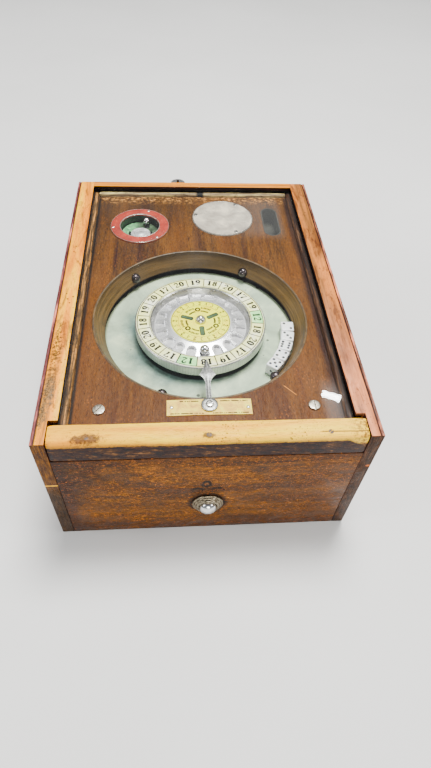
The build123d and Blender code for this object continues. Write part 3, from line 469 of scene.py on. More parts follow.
def front_wood():
    M = Mat("wood_front", Specular_IOR_Level=0.16)
    base, h, f, p = wood_layers(M, 0, fsrgb(154, 100, 50), fsrgb(120, 76, 36), fsrgb(78, 48, 24), seed=20, pores=0.8, fib=0.95)
    # varnish worn through in ragged lens-shaped streaks along the grain
    w1 = M.noise((26, 60, 70), 5, 0.72, 1.4, loc=(1, 0, 2))
    wear = M.ramp(w1, [(0.46, 0.0), (0.58, 0.8), (0.70, 1.0)])
    w2 = M.noise((230, 300, 520), 4, 0.75, 0.8, loc=(5, 0, 1))
    fine = M.ramp(w2, [(0.52, 0.0), (0.60, 1.0)])
    gold = M.ramp(M.noise((60, 60, 400), 4, 0.7), [(0.3, fsrgb(178, 124, 58)), (0.52, fsrgb(206, 150, 78)), (0.74, fsrgb(236, 192, 118))])
    leftish = M.step(M.xyz[0], -0.02, 0.09, 1.0, 0.7)
    k = M.math("MULTIPLY", M.math("MULTIPLY", wear, fine), leftish)
    base = M.mix(M.math("MULTIPLY", wear, 0.4), base, fsrgb(160, 106, 50))
    base = M.mix(M.math("MULTIPLY", k, 0.95), base, gold)
    # flecks of bare wood and dark pits everywhere
    v = M.voronoi((330, 330, 620), loc=(2, 0, 3))
    fl = M.math("MULTIPLY", M.step(v, 0.10, 0.24, 1.0, 0.0), M.ramp(M.noise(60, 4), [(0.44, 0.0), (0.54, 1.0)]))
    base = M.mix(M.math("MULTIPLY", fl, 0.75), base, fsrgb(232, 176, 112))
    v2 = M.voronoi((260, 260, 480), loc=(7, 1, 3))
    pit = M.math("MULTIPLY", M.step(v2, 0.12, 0.28, 1.0, 0.0), M.ramp(M.noise(50, 4, loc=(3, 3, 3)), [(0.42, 0.0), (0.52, 1.0)]))
    base = M.mix(M.math("MULTIPLY", pit, 0.7), base, fsrgb(56, 34, 22))
    clouds = M.ramp(M.noise((22, 22, 34), 4, 0.6, 0.6, loc=(8, 0, 1)), [(0.46, 0.0), (0.66, 0.65)])
    base = M.mix(clouds, base, fsrgb(84, 54, 32))
    # dark upper left corner and left edge, grime at the base and under the rail
    wob = M.math("MULTIPLY", M.math("SUBTRACT", M.noise(40, 5, 0.7), 0.5), 0.05)
    corner = M.step(M.math("ADD", M.dist_xz(-127.0, 106.0, 0.62, 0.62), wob), 0.014, 0.036, 1.0, 0.0)
    base = M.mix(M.math("MULTIPLY", corner, 0.8), base, M.ramp(M.noise((160, 160, 300), 4, 0.7), [(0.4, fsrgb(54, 36, 26)), (0.62, fsrgb(108, 74, 48))]))
    edge_l = M.step(M.math("ADD", M.xyz[0], M.math("MULTIPLY", wob, 0.4)), -0.124, -0.112, 1.0, 0.0)
    base = M.mix(M.math("MULTIPLY", edge_l, 0.65), base, fsrgb(60, 40, 28))
    under = M.step(M.math("ADD", M.xyz[2], M.math("MULTIPLY", wob, 0.12)), 0.121, 0.1275)
    base = M.mix(M.math("MULTIPLY", under, 0.55), base, fsrgb(86, 52, 34))
    low = M.step(M.math("ADD", M.xyz[2], M.math("MULTIPLY", wob, 0.5)), 0.0, 0.030, 1.0, 0.0)
    base = M.mix(M.math("MULTIPLY", low, 0.5), base, fsrgb(78, 48, 28))
    right_red = M.step(M.xyz[0], 0.03, 0.11, 0.0, 0.35)
    base = M.mix(right_red, base, fsrgb(112, 66, 40))

    # shadow left by a lost escutcheon above the push button: a small loop over two round lobes
    def blob(x, z, sx=1.0, sz=1.0):
        return M.math("ADD", M.dist_xz(x, z, sx, sz), M.math("MULTIPLY", M.math("SUBTRACT", M.noise(420, 4, 0.75), 0.5), 0.0035))
    for cx, cz, r, arc in ((-9.2, 72.0, 5.6, 70.0), (8.6, 72.0, 5.6, 70.0)):
        d = blob(cx, cz, 1.0, 0.9)
        upper = M.step(M.xyz[2], arc * MM, (arc + 3.0) * MM)
        ringm = M.math("MULTIPLY", M.math("MULTIPLY", M.step(d, (r - 2.1) * MM, (r - 1.0) * MM), M.step(d, (r + 0.5) * MM, (r + 1.5) * MM, 1.0, 0.0)), upper)
        base = M.mix(M.math("MULTIPLY", ringm, 0.97), base, fsrgb(16, 10, 7))
    inner = blob(-0.5, 70.0, 0.75, 0.8)
    base = M.mix(M.step(inner, 0.005, 0.010, 0.5, 0.0), base, fsrgb(70, 46, 28))
    d2 = blob(-1.3, 85.2, 1.1, 0.85)
    loop = M.math("MULTIPLY", M.step(d2, 0.0018, 0.0026), M.step(d2, 0.0046, 0.0054, 1.0, 0.0))
    base = M.mix(M.math("MULTIPLY", loop, 0.95), base, fsrgb(16, 10, 7))
    halo = M.step(M.dist_xz(0.5, 50.0), 0.0150, 0.0205, 1.0, 0.0)
    base = M.mix(M.math("MULTIPLY", halo, 0.9), base, fsrgb(22, 14, 9))
    grit = M.noise((420, 420, 900), 3, 0.75, loc=(6, 2, 9))
    base = M.mix(M.ramp(grit, [(0.34, 0.75), (0.47, 0.0)]), base, fsrgb(30, 18, 11))
    base = M.mix(M.ramp(grit, [(0.60, 0.0), (0.70, 0.6)]), base, fsrgb(224, 168, 96))
    rough = M.mix(M.math("MULTIPLY", wear, 0.8), M.ramp(M.noise(60, 4, 0.6), [(0.3, 0.3), (0.7, 0.48)]), 0.62)
    hh = M.math("SUBTRACT", M.math("MULTIPLY", h, 0.7), M.math("MULTIPLY", M.math("ADD", k, pit), 0.7))
    return M.done(base, rough, M.bump(hh, 0.6, 0.0005))


def panel_wood():
    M = Mat("wood_panel", Specular_IOR_Level=0.16)
    base, h, f, p = wood_layers(M, 1, gsrgb(160, 112, 68), gsrgb(130, 87, 52), gsrgb(84, 53, 33), seed=31, pores=0.85, fib=0.85)
    streak = M.noise((34, 3.5, 34), 4, 0.55, 0.8, loc=(9, 0, 0))
    base = M.mix(M.ramp(streak, [(0.42, 0.0), (0.62, 0.5)]), base, gsrgb(176, 118, 70))
    base = M.mix(M.ramp(streak, [(0.30, 0.6), (0.44, 0.0)]), base, gsrgb(88, 54, 34))
    # the left and the front are redder, the back greyer
    red = M.step(M.xyz[1], -0.17, 0.02, 0.4, 0.0)
    base = M.mix(red, base, gsrgb(164, 104, 66))
    backc = M.step(M.xyz[1], 0.09, 0.17, 0.0, 0.45)
    base = M.mix(backc, base, gsrgb(100, 74, 50))
    base, k = speckle(M, base, 0.0030, 0.55, gsrgb(214, 164, 116), seed=17, density=0.52)
    base, k2 = speckle(M, base, 0.0024, 0.55, gsrgb(66, 40, 26), seed=23, density=0.48)
    grit = M.noise((900, 260, 900), 3, 0.75, loc=(6, 2, 9))
    base = M.mix(M.ramp(grit, [(0.34, 0.6), (0.46, 0.0)]), base, gsrgb(44, 26, 17))
    base = M.mix(M.ramp(grit, [(0.60, 0.0), (0.72, 0.4)]), base, gsrgb(206, 158, 110))
    # dust along the back edge, and painted shade in the angles beside the strips
    by = M.math("MULTIPLY", M.step(M.xyz[1], 0.158, 0.172), M.ramp(M.noise((260, 320, 100), 4, 0.8), [(0.5, 0.0), (0.6, 0.9)]))
    base = M.mix(by, base, gsrgb(216, 186, 146))
    # the left: painted shade in the angle beside the strip, drawn as a dark seam
    side = M.step(M.xyz[0], -0.1135, -0.1110, 1.0, 0.0)
    base = M.mix(M.math("MULTIPLY", side, 0.9), base, gsrgb(48, 24, 16))
    # the right: painted shadow cast by the lip of the right wall
    side2 = M.step(M.xyz[0], 0.1085, 0.1130)
    base = M.mix(M.math("MULTIPLY", side2, 0.75), base, gsrgb(66, 38, 26))
    # a short pale scratch at the front right
    sx = M.math("ADD", M.xyz[0], M.math("MULTIPLY", M.xyz[1], 0.9))
    scr = M.math("MULTIPLY", M.step(M.math("ABSOLUTE", M.math("ADD", sx, 0.0472)), 0.0002, 0.0007, 1.0, 0.0),
                 M.math("MULTIPLY", M.step(M.xyz[1], -0.1395, -0.1380), M.step(M.xyz[1], -0.1290, -0.1275, 1.0, 0.0)))
    base = M.mix(M.math("MULTIPLY", scr, 0.8), base, gsrgb(224, 186, 140))
    # painted shade: the board's upright edges, down in the gap by the walls, are made dark
    cut = M.step(M.math("ABSOLUTE", M.normal[2]), 0.5, 0.8, 1.0, 0.0)
    base = M.mix(cut, base, gsrgb(44, 24, 15))
    rough = M.ramp(M.noise((300, 40, 300), 4, 0.6), [(0.3, 0.36), (0.7, 0.55)])
    return M.done(base, rough, M.bump(h, 0.5, 0.00035))


def plain_wood():
    M = Mat("wood_inner")
    base, h, f, p = wood_layers(M, 0, srgb(186, 148, 104), srgb(164, 124, 82), srgb(126, 90, 56), seed=44, pores=0.3)
    dust = M.ramp(M.noise(22, 4), [(0.4, 0.0), (0.7, 0.5)])
    base = M.mix(dust, base, srgb(96, 78, 60))
    low = M.step(M.math("ABSOLUTE", M.xyz[2]), 0.0, 0.002, 0.4, 0.0)
    base = M.mix(low, base, srgb(72, 48, 30))
    return M.done(base, M.ramp(M.noise(80, 3), [(0.3, 0.6), (0.7, 0.8)]), M.bump(h, 0.6, 0.0004))


def bead_wood(name, tone):
    M = Mat(name, Specular_IOR_Level=0.16)
    pal = {"pale": [(0.3, gsrgb(120, 104, 84)), (0.5, gsrgb(186, 170, 146)), (0.68, gsrgb(232, 220, 198))],
           "left": [(0.34, gsrgb(70, 50, 34)), (0.5, gsrgb(150, 118, 84)), (0.66, gsrgb(222, 190, 148))],
           # the right strip's darker tones paint in the shade under the right wall's lip
           "right": [(0.3, gsrgb(44, 27, 20)), (0.5, gsrgb(92, 62, 44)), (0.7, gsrgb(160, 122, 92))]}[tone]
    sc = (25, 500, 500) if tone == "pale" else (500, 25, 500)
    base = M.ramp(M.noise(sc, 4, 0.65, 0.4), pal)
    spots = M.ramp(M.noise(300, 4, 0.75), [(0.54, 0.0), (0.66, 0.8)])
    base = M.mix(spots, base, gsrgb(84, 60, 42))
    if tone == "pale":
        gap = M.step(M.math("ABSOLUTE", M.math("SUBTRACT", M.xyz[0], 0.008)), 0.0025, 0.006, 1.0, 0.0)
        base = M.mix(gap, base, gsrgb(26, 14, 9))
    else:
        # painted shadow: a dark line against the case side, under the lip of the glass groove
        edge = M.math("ABSOLUTE", M.xyz[0])
        base = M.mix(M.step(edge, 0.1188, 0.1196, 0.0, 0.85), base, gsrgb(40, 22, 15))
    return M.done(base, M.ramp(M.noise(90, 3), [(0.3, 0.4), (0.7, 0.65)]), M.bump(M.noise((300, 300, 300), 3), 0.4, 0.0003))


def hoop_band():
    M = Mat("hoop_band", Specular_IOR_Level=0.16)
    pv, r = M.polar()
    g = M.noise((30, 500, 500), 4, 0.65, 0.3, vec=pv)
    base = M.ramp(g, [(0.3, gsrgb(122, 96, 64)), (0.5, gsrgb(158, 130, 92)), (0.7, gsrgb(184, 154, 112))])
    # greyer and darker at the back, warmer at the right
    back = M.step(M.xyz[1], -0.01, 0.05)
    base = M.mix(M.math("MULTIPLY", back, 0.55), base, gsrgb(128, 106, 84))
    dark = M.step(M.math("ADD", M.xyz[2], M.math("MULTIPLY", M.noise((40, 120, 10), 3, vec=pv), 0.008)), 0.1375, 0.1455)
    base = M.mix(M.math("MULTIPLY", dark, M.math("MULTIPLY_ADD", back, 0.55, 0.2)), base, gsrgb(76, 62, 50))
    blot = M.ramp(M.noise((34, 90, 90), 4, 0.6, 0.5, vec=pv, loc=(3, 1, 0)), [(0.46, 0.0), (0.66, 0.5)])
    base = M.mix(blot, base, gsrgb(104, 82, 60))
    # painted shade along the foot of the band, over the gap above the tray
    base = M.mix(M.step(M.xyz[2], 0.1258, 0.1270, 0.85, 0.0), base, gsrgb(30, 20, 14))
    lip = M.step(M.normal[2], 0.8, 0.95)
    base = M.mix(lip, base, gsrgb(186, 152, 104))
    return M.done(base, M.ramp(g, [(0.3, 0.34), (0.7, 0.5)]), M.bump(g, 0.3, 0.0003))


# ------------------------------------------------------------------ other looks
def metal(name, color, rough=(0.2, 0.4), scratch=0.25, patina=None, patina_amt=0.4, scale=60, seed=0.0, spec=None):
    M = Mat(name, Metallic=1.0)
    n = M.noise(scale, 5, 0.65, 0.3, loc=(seed, seed, 0))
    c = tuple(color)
    base = M.ramp(n, [(0.3, tuple(x * 0.72 for x in c)), (0.55, c), (0.75, tuple(min(1, x * 1.1) for x in c))])
    if patina:
        pm = M.ramp(M.noise(scale * 3.1, 4, 0.7, loc=(seed, 4, 1)), [(0.48, 0.0), (0.66, patina_amt)])
        base = M.mix(pm, base, patina)
    sc = M.noise((3000, 240, 3000), 2, 0.6, loc=(seed, 1, 2))
    r = M.ramp(M.noise(scale * 2.3, 4, 0.7, loc=(1, seed, 2)), [(0.3, rough[0]), (0.7, rough[1])])
    return M.done(base, r, M.bump(sc, scratch, 0.00008))


def turned_metal(name, color, rough=(0.22, 0.36), patina=None, metallic=1.0, knurl=False, bump=0.3):
    """Metal with fine lathe lines round the wheel's axis."""
    M = Mat(name, Metallic=metallic)
    pv, r = M.polar()
    rings = M.noise((18, 2600, 2600), 3, 0.6, vec=pv)
    c = tuple(color)
    base = M.ramp(rings, [(0.3, tuple(x * 0.85 for x in c)), (0.55, c), (0.75, tuple(min(1, x * 1.06) for x in c))])
    cloud = M.ramp(M.noise(85, 4, 0.65, 0.4), [(0.42, 0.0), (0.7, 0.4)])
    base = M.mix(cloud, base, patina or tuple(x * 0.6 for x in c))
    rr = M.ramp(M.noise(120, 4, 0.7), [(0.3, rough[0]), (0.7, rough[1])])
    height = rings
    if knurl:
        # shallow upright milling on the outer wall
        dx = M.math("SUBTRACT", M.xyz[0], WX * MM)
        dy = M.math("SUBTRACT", M.xyz[1], WY * MM)
        mill = M.math("SINE", M.math("MULTIPLY", M.math("ARCTAN2", dy, dx), 150.0))
        wall = M.step(r, 0.0640, 0.0643)
        mk = M.math("MULTIPLY", mill, wall)
        base = M.mix(M.math("MULTIPLY", M.step(mk, 0.0, 0.8), 0.28), base, tuple(x * 0.45 for x in c))
        height = M.math("ADD", M.math("MULTIPLY", rings, 0.4), M.math("MULTIPLY", mk, -0.25))
    return M.done(base, rr, M.bump(height, bump, 0.0001))


def enamel(name, tones, rough=(0.25, 0.45), chips=None, scale=70, bump=0.15, coat=0.3, seed=0.0):
    M = Mat(name, Coat_Weight=coat, Coat_Roughness=0.12)
    n = M.noise(scale, 5, 0.6, 0.4, loc=(seed, 0, seed))
    base = M.ramp(n, [(0.3, tones[0]), (0.52, tones[1]), (0.72, tones[2])])
    fine = M.noise(1500, 3, 0.7, loc=(seed, 2, 0))
    base = M.mix(0.3, base, M.ramp(fine, [(0.3, 0.75), (0.6, 1.05)]), "MULTIPLY")
    if chips:
        cm = M.ramp(M.noise(scale * 6, 4, 0.75, loc=(2, seed, 5)), [(0.62, 0.0), (0.68, 0.9)])
        base = M.mix(cm, base, chips)
    return M.done(base, M.ramp(M.noise(scale * 2, 4), [(0.3, rough[0]), (0.7, rough[1])]), M.bump(fine, bump, 0.0001))


def flap_enamel():
    M = Mat("flap_green", Specular_IOR_Level=0.3)
    n = M.noise(140, 5, 0.65, 0.4)
    green = M.ramp(n, [(0.3, gsrgb(116, 150, 122)), (0.52, gsrgb(168, 198, 170)), (0.74, gsrgb(210, 226, 206))])
    grey = M.ramp(n, [(0.3, gsrgb(58, 60, 50)), (0.52, gsrgb(108, 112, 98)), (0.74, gsrgb(150, 152, 138))])
    k = M.step(M.math("ADD", M.xyz[0], M.math("MULTIPLY", n, 0.010)), -0.0690, -0.0590)
    base = M.mix(M.math("MULTIPLY", k, 0.85), green, grey)
    return M.done(base, M.ramp(n, [(0.3, 0.3), (0.7, 0.5)]), M.bump(n, 0.2, 0.0001))


def tray_enamel():
    M = Mat("tray_enamel", Specular_IOR_Level=0.35)
    pv, r = M.polar()
    cloud = M.noise(34, 5, 0.6, 0.6, loc=(2, 3, 0))
    base = M.ramp(cloud, [(0.3, gsrgb(194, 200, 190)), (0.52, gsrgb(208, 212, 203)), (0.74, gsrgb(220, 222, 212))])
    # teal bloom near the wheel, strongest at the left and front left: enamel patina showing through the dust, with the
    # wheel's shade painted into it
    ang_bias = M.math("ADD", M.math("MULTIPLY", M.math("SUBTRACT", M.xyz[0], WX * MM), 0.13), M.math("MULTIPLY", M.math("SUBTRACT", M.xyz[1], WY * MM), 0.07))
    rr = M.math("ADD", M.math("ADD", r, ang_bias), M.math("MULTIPLY", M.math("SUBTRACT", M.noise(46, 5, 0.65), 0.5), 0.020))
    teal = M.step(rr, 0.056, 0.076, 1.0, 0.0)
    tealc = M.ramp(M.noise(90, 4, 0.7), [(0.3, gsrgb(100, 132, 134)), (0.55, gsrgb(144, 170, 168)), (0.75, gsrgb(178, 196, 190))])
    base = M.mix(M.math("MULTIPLY", teal, 0.85), base, tealc)
    dust = M.ramp(M.noise(420, 4, 0.75, loc=(1, 2, 1)), [(0.58, 0.0), (0.7, 0.3)])
    base = M.mix(dust, base, gsrgb(172, 176, 160))
    for x, y, rad in ((66.7, -49.5, 1.3), (-6.6, -119.0, 1.6), (60.0, -70.0, 0.6), (-70.0, -60.0, 0.6), (52.0, 28.0, 0.7)):
        d = M.math("ADD", M.dist_xy(x, y), M.math("MULTIPLY", M.noise(1500, 3), 0.0007))
        base = M.mix(M.step(d, rad * MM, (rad + 0.7) * MM, 0.8, 0.0), base, gsrgb(80, 84, 72))
    edge = M.step(r, 0.0920, 0.0950)
    base = M.mix(M.math("MULTIPLY", edge, 0.6), base, gsrgb(168, 166, 138))
    # painted shade: the disc is dark under the wheel's rim
    under = M.step(M.math("ADD", r, M.math("MULTIPLY", M.noise(300, 3), 0.001)), 0.0632, 0.0652, 1.0, 0.0)
    base = M.mix(M.math("MULTIPLY", under, 0.93), base, gsrgb(30, 34, 30))
    rough = M.ramp(cloud, [(0.3, 0.32), (0.7, 0.46)])
    return M.done(base, rough, M.bump(M.noise(600, 3), 0.12, 0.0001))


def card(name, tones, stain, dark_edge=None, seed=0.0):
    M = Mat(name, Specular_IOR_Level=0.35)
    n = M.noise(70, 5, 0.65, 0.4, loc=(seed, seed, 0))
    base = M.ramp(n, [(0.3, tones[0]), (0.52, tones[1]), (0.74, tones[2])])
    fox = M.ramp(M.noise(260, 4, 0.7, loc=(seed, 3, 1)), [(0.6, 0.0), (0.72, 0.6)])
    base = M.mix(fox, base, stain)
    pulp = M.noise(2600, 3, 0.7)
    base = M.mix(0.3, base, M.ramp(pulp, [(0.3, 0.82), (0.65, 1.04)]), "MULTIPLY")
    return M.done(base, M.ramp(pulp, [(0.3, 0.45), (0.7, 0.62)]), M.bump(pulp, 0.2, 0.00006))


def ink(name, color, fade=0.35, seed=0.0):
    M = Mat(name, Specular_IOR_Level=0.15)
    n = M.noise(900, 4, 0.75, loc=(seed, 0, 0))
    lighter = tuple(min(1, c + 0.10) for c in color)
    base = M.ramp(n, [(0.3, color), (0.62, color), (0.8, lighter)])
    return M.done(base, M.ramp(n, [(0.3, 0.35), (0.7, 0.6)]))


def glass_pane():
    M = Mat("pane_glass")
    t = M.t
    tr = M.node("ShaderNodeBsdfTransparent")
    tr.inputs[0].default_value = (0.982, 0.988, 0.984, 1)
    gl = M.node("ShaderNodeBsdfGlossy")
    gl.inputs["Color"].default_value = (1, 1, 1, 1)
    rough = M.ramp(M.noise(14, 4, 0.6, 0.5), [(0.45, 0.01), (0.75, 0.04)])
    M.put(gl.inputs["Roughness"], rough)
    # reflection of a clean face at each angle, the same from inside the pane as from outside
    lw = M.node("ShaderNodeLayerWeight")
    lw.inputs["Blend"].default_value = 0.5
    fr = M.math("MULTIPLY_ADD", M.math("POWER", lw.outputs["Facing"], 5.0), 0.9, 0.022)
    # a thin film of dust and rubbed streaks, seen as a faint haze
    haze_and_glare_bsdf = M.node("ShaderNodeBsdfDiffuse")
    haze_and_glare_bsdf.inputs[0].default_value = (0.85, 0.86, 0.84, 1)
    haze_and_glare = M.ramp(M.noise((26, 9, 26), 5, 0.65, 1.2, loc=(3, 3, 0)), [(0.45, 0.0), (0.75, 0.004)])
    dust = M.ramp(M.noise(900, 3, 0.8), [(0.68, 0.0), (0.76, 0.02)])
    # painted reflection: a diffuse patch at the back right stands in for the sheet of light lying over the oblong
    # recess
    px = M.math("MULTIPLY", M.step(M.xyz[0], 0.025, 0.075), M.step(M.xyz[0], 0.096, 0.106, 1.0, 0.0))
    py = M.math("MULTIPLY", M.step(M.xyz[1], 0.076, 0.100), M.step(M.xyz[1], 0.150, 0.176, 1.0, 0.0))
    haze_and_glare = M.math("ADD", haze_and_glare, M.math("MULTIPLY", M.math("MULTIPLY", px, py), 0.016))
    # and a faint upright glare below the mirrored lamp along the right-hand edge
    gx = M.math("MULTIPLY", M.step(M.xyz[0], 0.094, 0.103), M.step(M.xyz[0], 0.108, 0.117, 1.0, 0.0))
    gy = M.step(M.xyz[1], -0.150, -0.120, 1.0, 0.0)
    haze_and_glare = M.math("ADD", haze_and_glare, M.math("MULTIPLY", M.math("MULTIPLY", gx, gy), 0.03))
    m1 = M.node("ShaderNodeMixShader")
    M.put(m1.inputs[0], M.math("ADD", haze_and_glare, dust, clamp=True))
    t.links.new(tr.outputs[0], m1.inputs[1])
    t.links.new(haze_and_glare_bsdf.outputs[0], m1.inputs[2])
    m2 = M.node("ShaderNodeMixShader")
    M.put(m2.inputs[0], fr)
    t.links.new(m1.outputs[0], m2.inputs[1])
    t.links.new(gl.outputs[0], m2.inputs[2])
    t.links.new(m2.outputs[0], M.out.inputs[0])
    t.nodes.remove(M.b)
    return M.m


def dice_body():
    M = Mat("dice_white", Subsurface_Weight=0.12, Coat_Weight=0.3, Coat_Roughness=0.1)
    M.b.inputs["Subsurface Radius"].default_value = (0.002, 0.0015, 0.001)
    n = M.noise(160, 4, 0.6)
    base = M.ramp(n, [(0.3, srgb(234, 231, 221, 1.6)), (0.55, srgb(243, 241, 234, 1.6)), (0.75, srgb(250, 249, 246, 1.6))])
    worn = M.ramp(M.noise(800, 3, 0.7), [(0.6, 0.0), (0.72, 0.3)])
    base = M.mix(worn, base, srgb(204, 190, 160))
    return M.done(base, M.ramp(n, [(0.3, 0.22), (0.7, 0.34)]), M.bump(M.noise(500, 3), 0.08, 0.0001))


MATS = {
    "side_l": side_wood("wood_side_left", -1),
    "side_r": side_wood("wood_side_right", 1),
    "back": back_wood(),
    "rail": rail_wood(),
    "front": front_wood(),
    "panel": panel_wood(),
    "plain": plain_wood(),
    "bead_l": bead_wood("bead_left", "left"),
    "bead_r": bead_wood("bead_right", "right"),
    "bead_b": bead_wood("bead_back", "pale"),
    "hoop": hoop_band(),
    "hoop_edge": enamel("hoop_edge", [gsrgb(84, 62, 38), gsrgb(134, 102, 64), gsrgb(176, 140, 94)], (0.4, 0.6), scale=120, seed=2, coat=0.0),
    "bumper": metal("bumper_iron", (0.10, 0.08, 0.085), (0.22, 0.4), patina=(0.03, 0.024, 0.022), seed=3),
    "screw": metal("screw_worn", (0.46, 0.42, 0.34), (0.3, 0.5), patina=(0.10, 0.07, 0.045), patina_amt=0.85, scale=160, seed=4),
    "screw_dark": enamel("screw_dark", [gsrgb(96, 70, 54), gsrgb(132, 100, 76), gsrgb(172, 138, 108)], (0.45, 0.6), chips=gsrgb(70, 46, 34), scale=260, seed=5, coat=0.0),
    "nickel": metal("nickel_worn", (0.64, 0.63, 0.60), (0.18, 0.36), patina=(0.26, 0.22, 0.15), patina_amt=0.45, scale=110, seed=6),
    "leaf": metal("leaf_nickel", (0.40, 0.40, 0.39), (0.30, 0.46), scratch=0.4, patina=(0.10, 0.095, 0.085), patina_amt=0.85, scale=210, seed=21),
    "leaf_edge": metal("leaf_edge", (0.88, 0.88, 0.86), (0.2, 0.35), patina=(0.6, 0.58, 0.55), scale=200, seed=22),
    "collar": metal("collar_worn", (0.30, 0.25, 0.17), (0.22, 0.42), patina=(0.05, 0.038, 0.024), patina_amt=0.9, scale=130, seed=7),
    "button": metal("button_bright", (0.78, 0.78, 0.77), (0.1, 0.24), patina=(0.36, 0.35, 0.33), patina_amt=0.35, scale=150, seed=8),
    "chrome": metal("ball_chrome", (0.86, 0.86, 0.86), (0.04, 0.12), scratch=0.08, seed=9),
    "wheel": turned_metal("wheel_nickel", (0.58, 0.58, 0.56), (0.24, 0.36), patina=(0.36, 0.36, 0.35), metallic=1.0, knurl=True, bump=0.08),
    "bowl": turned_metal("bowl_nickel", (0.84, 0.83, 0.84), (0.24, 0.34), patina=(0.62, 0.61, 0.62), metallic=0.8, bump=0.04),
    "tray": tray_enamel(),
    "red": enamel("red_enamel", [gsrgb(188, 84, 62), gsrgb(208, 106, 82), gsrgb(222, 130, 104)], (0.4, 0.55), chips=gsrgb(236, 190, 170), seed=1, coat=0.05),
    "cup": enamel("cup_green", [gsrgb(34, 40, 34), gsrgb(52, 60, 50), gsrgb(84, 94, 80)], (0.35, 0.55), seed=2, scale=140),
    "flap": flap_enamel(),
    "coin": metal("coin_worn", (0.80, 0.80, 0.79), (0.40, 0.5), patina=(0.5, 0.5, 0.49), patina_amt=0.4, scale=200, seed=11),
    "white": enamel("white_cover", [gsrgb(192, 186, 180), gsrgb(206, 202, 196), gsrgb(218, 214, 208)], (0.32, 0.5), chips=gsrgb(150, 142, 130), seed=4),
    "liner": enamel("olive_liner", [gsrgb(52, 50, 40), gsrgb(72, 70, 56), gsrgb(100, 97, 82)], (0.45, 0.7), seed=5, scale=50, coat=0.05),
    "cream": enamel("cream_plate", [gsrgb(216, 186, 140), gsrgb(240, 218, 178), gsrgb(248, 234, 204)], (0.4, 0.55), chips=gsrgb(150, 120, 80), seed=6, scale=110, coat=0.05),
    "num_card": card("number_card", [gsrgb(238, 233, 208), gsrgb(247, 244, 224), gsrgb(251, 249, 236)], gsrgb(216, 206, 168), seed=1),
    "num_green": card("number_green", [gsrgb(188, 206, 180), gsrgb(208, 222, 198), gsrgb(222, 232, 212)], gsrgb(150, 174, 138), seed=2),
    "lab_card": card("label_card", [gsrgb(236, 220, 158), gsrgb(246, 234, 184), gsrgb(250, 242, 204)], gsrgb(224, 186, 120), seed=3),
    "lab_green": card("label_green", [gsrgb(70, 100, 66), gsrgb(100, 128, 88), gsrgb(130, 156, 112)], gsrgb(50, 76, 50), seed=4),
    "ink": ink("ink_black", gsrgb(18, 18, 15)),
    "ink_soft": ink("ink_soft", gsrgb(40, 38, 26), seed=2),
    "ink_green": ink("ink_green", gsrgb(56, 88, 64), seed=3),
    "ink_brown": ink("ink_brown", gsrgb(60, 40, 24), seed=4),
    "pip": ink("pip_black", srgb(18, 18, 18), seed=5),
    "glass": glass_pane(),
    "die": dice_body(),
    "steel": metal("plain_steel", (0.42, 0.41, 0.39), (0.3, 0.5), patina=(0.16, 0.11, 0.07), seed=12),
    "brass": metal("plain_brass", (0.58, 0.40, 0.16), (0.25, 0.45), patina=(0.20, 0.12, 0.05), seed=13),
    "tin": metal("tinplate", (0.46, 0.47, 0.47), (0.3, 0.5), patina=(0.18, 0.13, 0.09), seed=14),
    "pin": metal("pin_bright", (0.86, 0.84, 0.76), (0.2, 0.4), patina=(0.5, 0.4, 0.24), scale=200, seed=15),
}

CAD_MATS = {
    "back_wood": "back", "front_wood": "front", "rail_wood": "rail", "panel_wood": "panel", "inner_wood": "plain",
    "glass": "glass", "hoop_band": "hoop", "bumper_iron": "bumper", "screw_steel": "screw", "nickel": "nickel",
    "nickel_collar": "collar", "chrome_ball": "chrome", "cream_plate": "cream", "pin_brass": "pin", "red_enamel": "red",
    "cup_green": "cup", "flap_green": "flap", "coin_metal": "coin", "white_enamel": "white", "olive_liner": "liner",
    "tray_enamel": "tray", "wheel_metal": "wheel", "number_card": "num_card", "label_card": "lab_card",
    "dice_white": "die", "steel": "steel", "brass": "brass", "tinplate": "tin", "bead_strip": "bead_l",
}


def wear(obj, mat):
    m = MATS[mat]
    if not obj.data.materials:
        obj.data.materials.append(m)
    for s in obj.material_slots:
        s.material = m


for name, o in NODES.items():
    s = SLOT_OF[name]
    wear(o, {"side_board_left": "side_l", "side_board_right": "side_r"}.get(name) or CAD_MATS.get(s, "steel"))
wear(NODES["pocket_crown"], "bowl")
wear(NODES["wheel_floor"], "bowl")
wear(NODES["plunger_knob"], "button")
wear(NODES["lid_rail_screws"], "screw_dark")
wear(NODES["base_screws"], "screw_dark")


# ================================================================= mesh helpers
def add(name, bm_or_mesh, mat, body, replaces=(), smooth=40, extra_mats=()):
    if isinstance(bm_or_mesh, bmesh.types.BMesh):
        me = bpy.data.meshes.new(name)
        bmesh.ops.recalc_face_normals(bm_or_mesh, faces=bm_or_mesh.faces)
        bm_or_mesh.to_mesh(me)
        bm_or_mesh.free()
    else:
        me = bm_or_mesh
    o = bpy.data.objects.new(name, me)
    bpy.context.scene.collection.objects.link(o)
    me.materials.append(MATS[mat])
    for m in extra_mats:
        me.materials.append(MATS[m])
    if smooth:
        for p in me.polygons:
            p.use_smooth = True
        me.set_sharp_from_angle(angle=math.radians(smooth))
    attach(o, body)
    if replaces:
        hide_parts(*replaces)
    return o


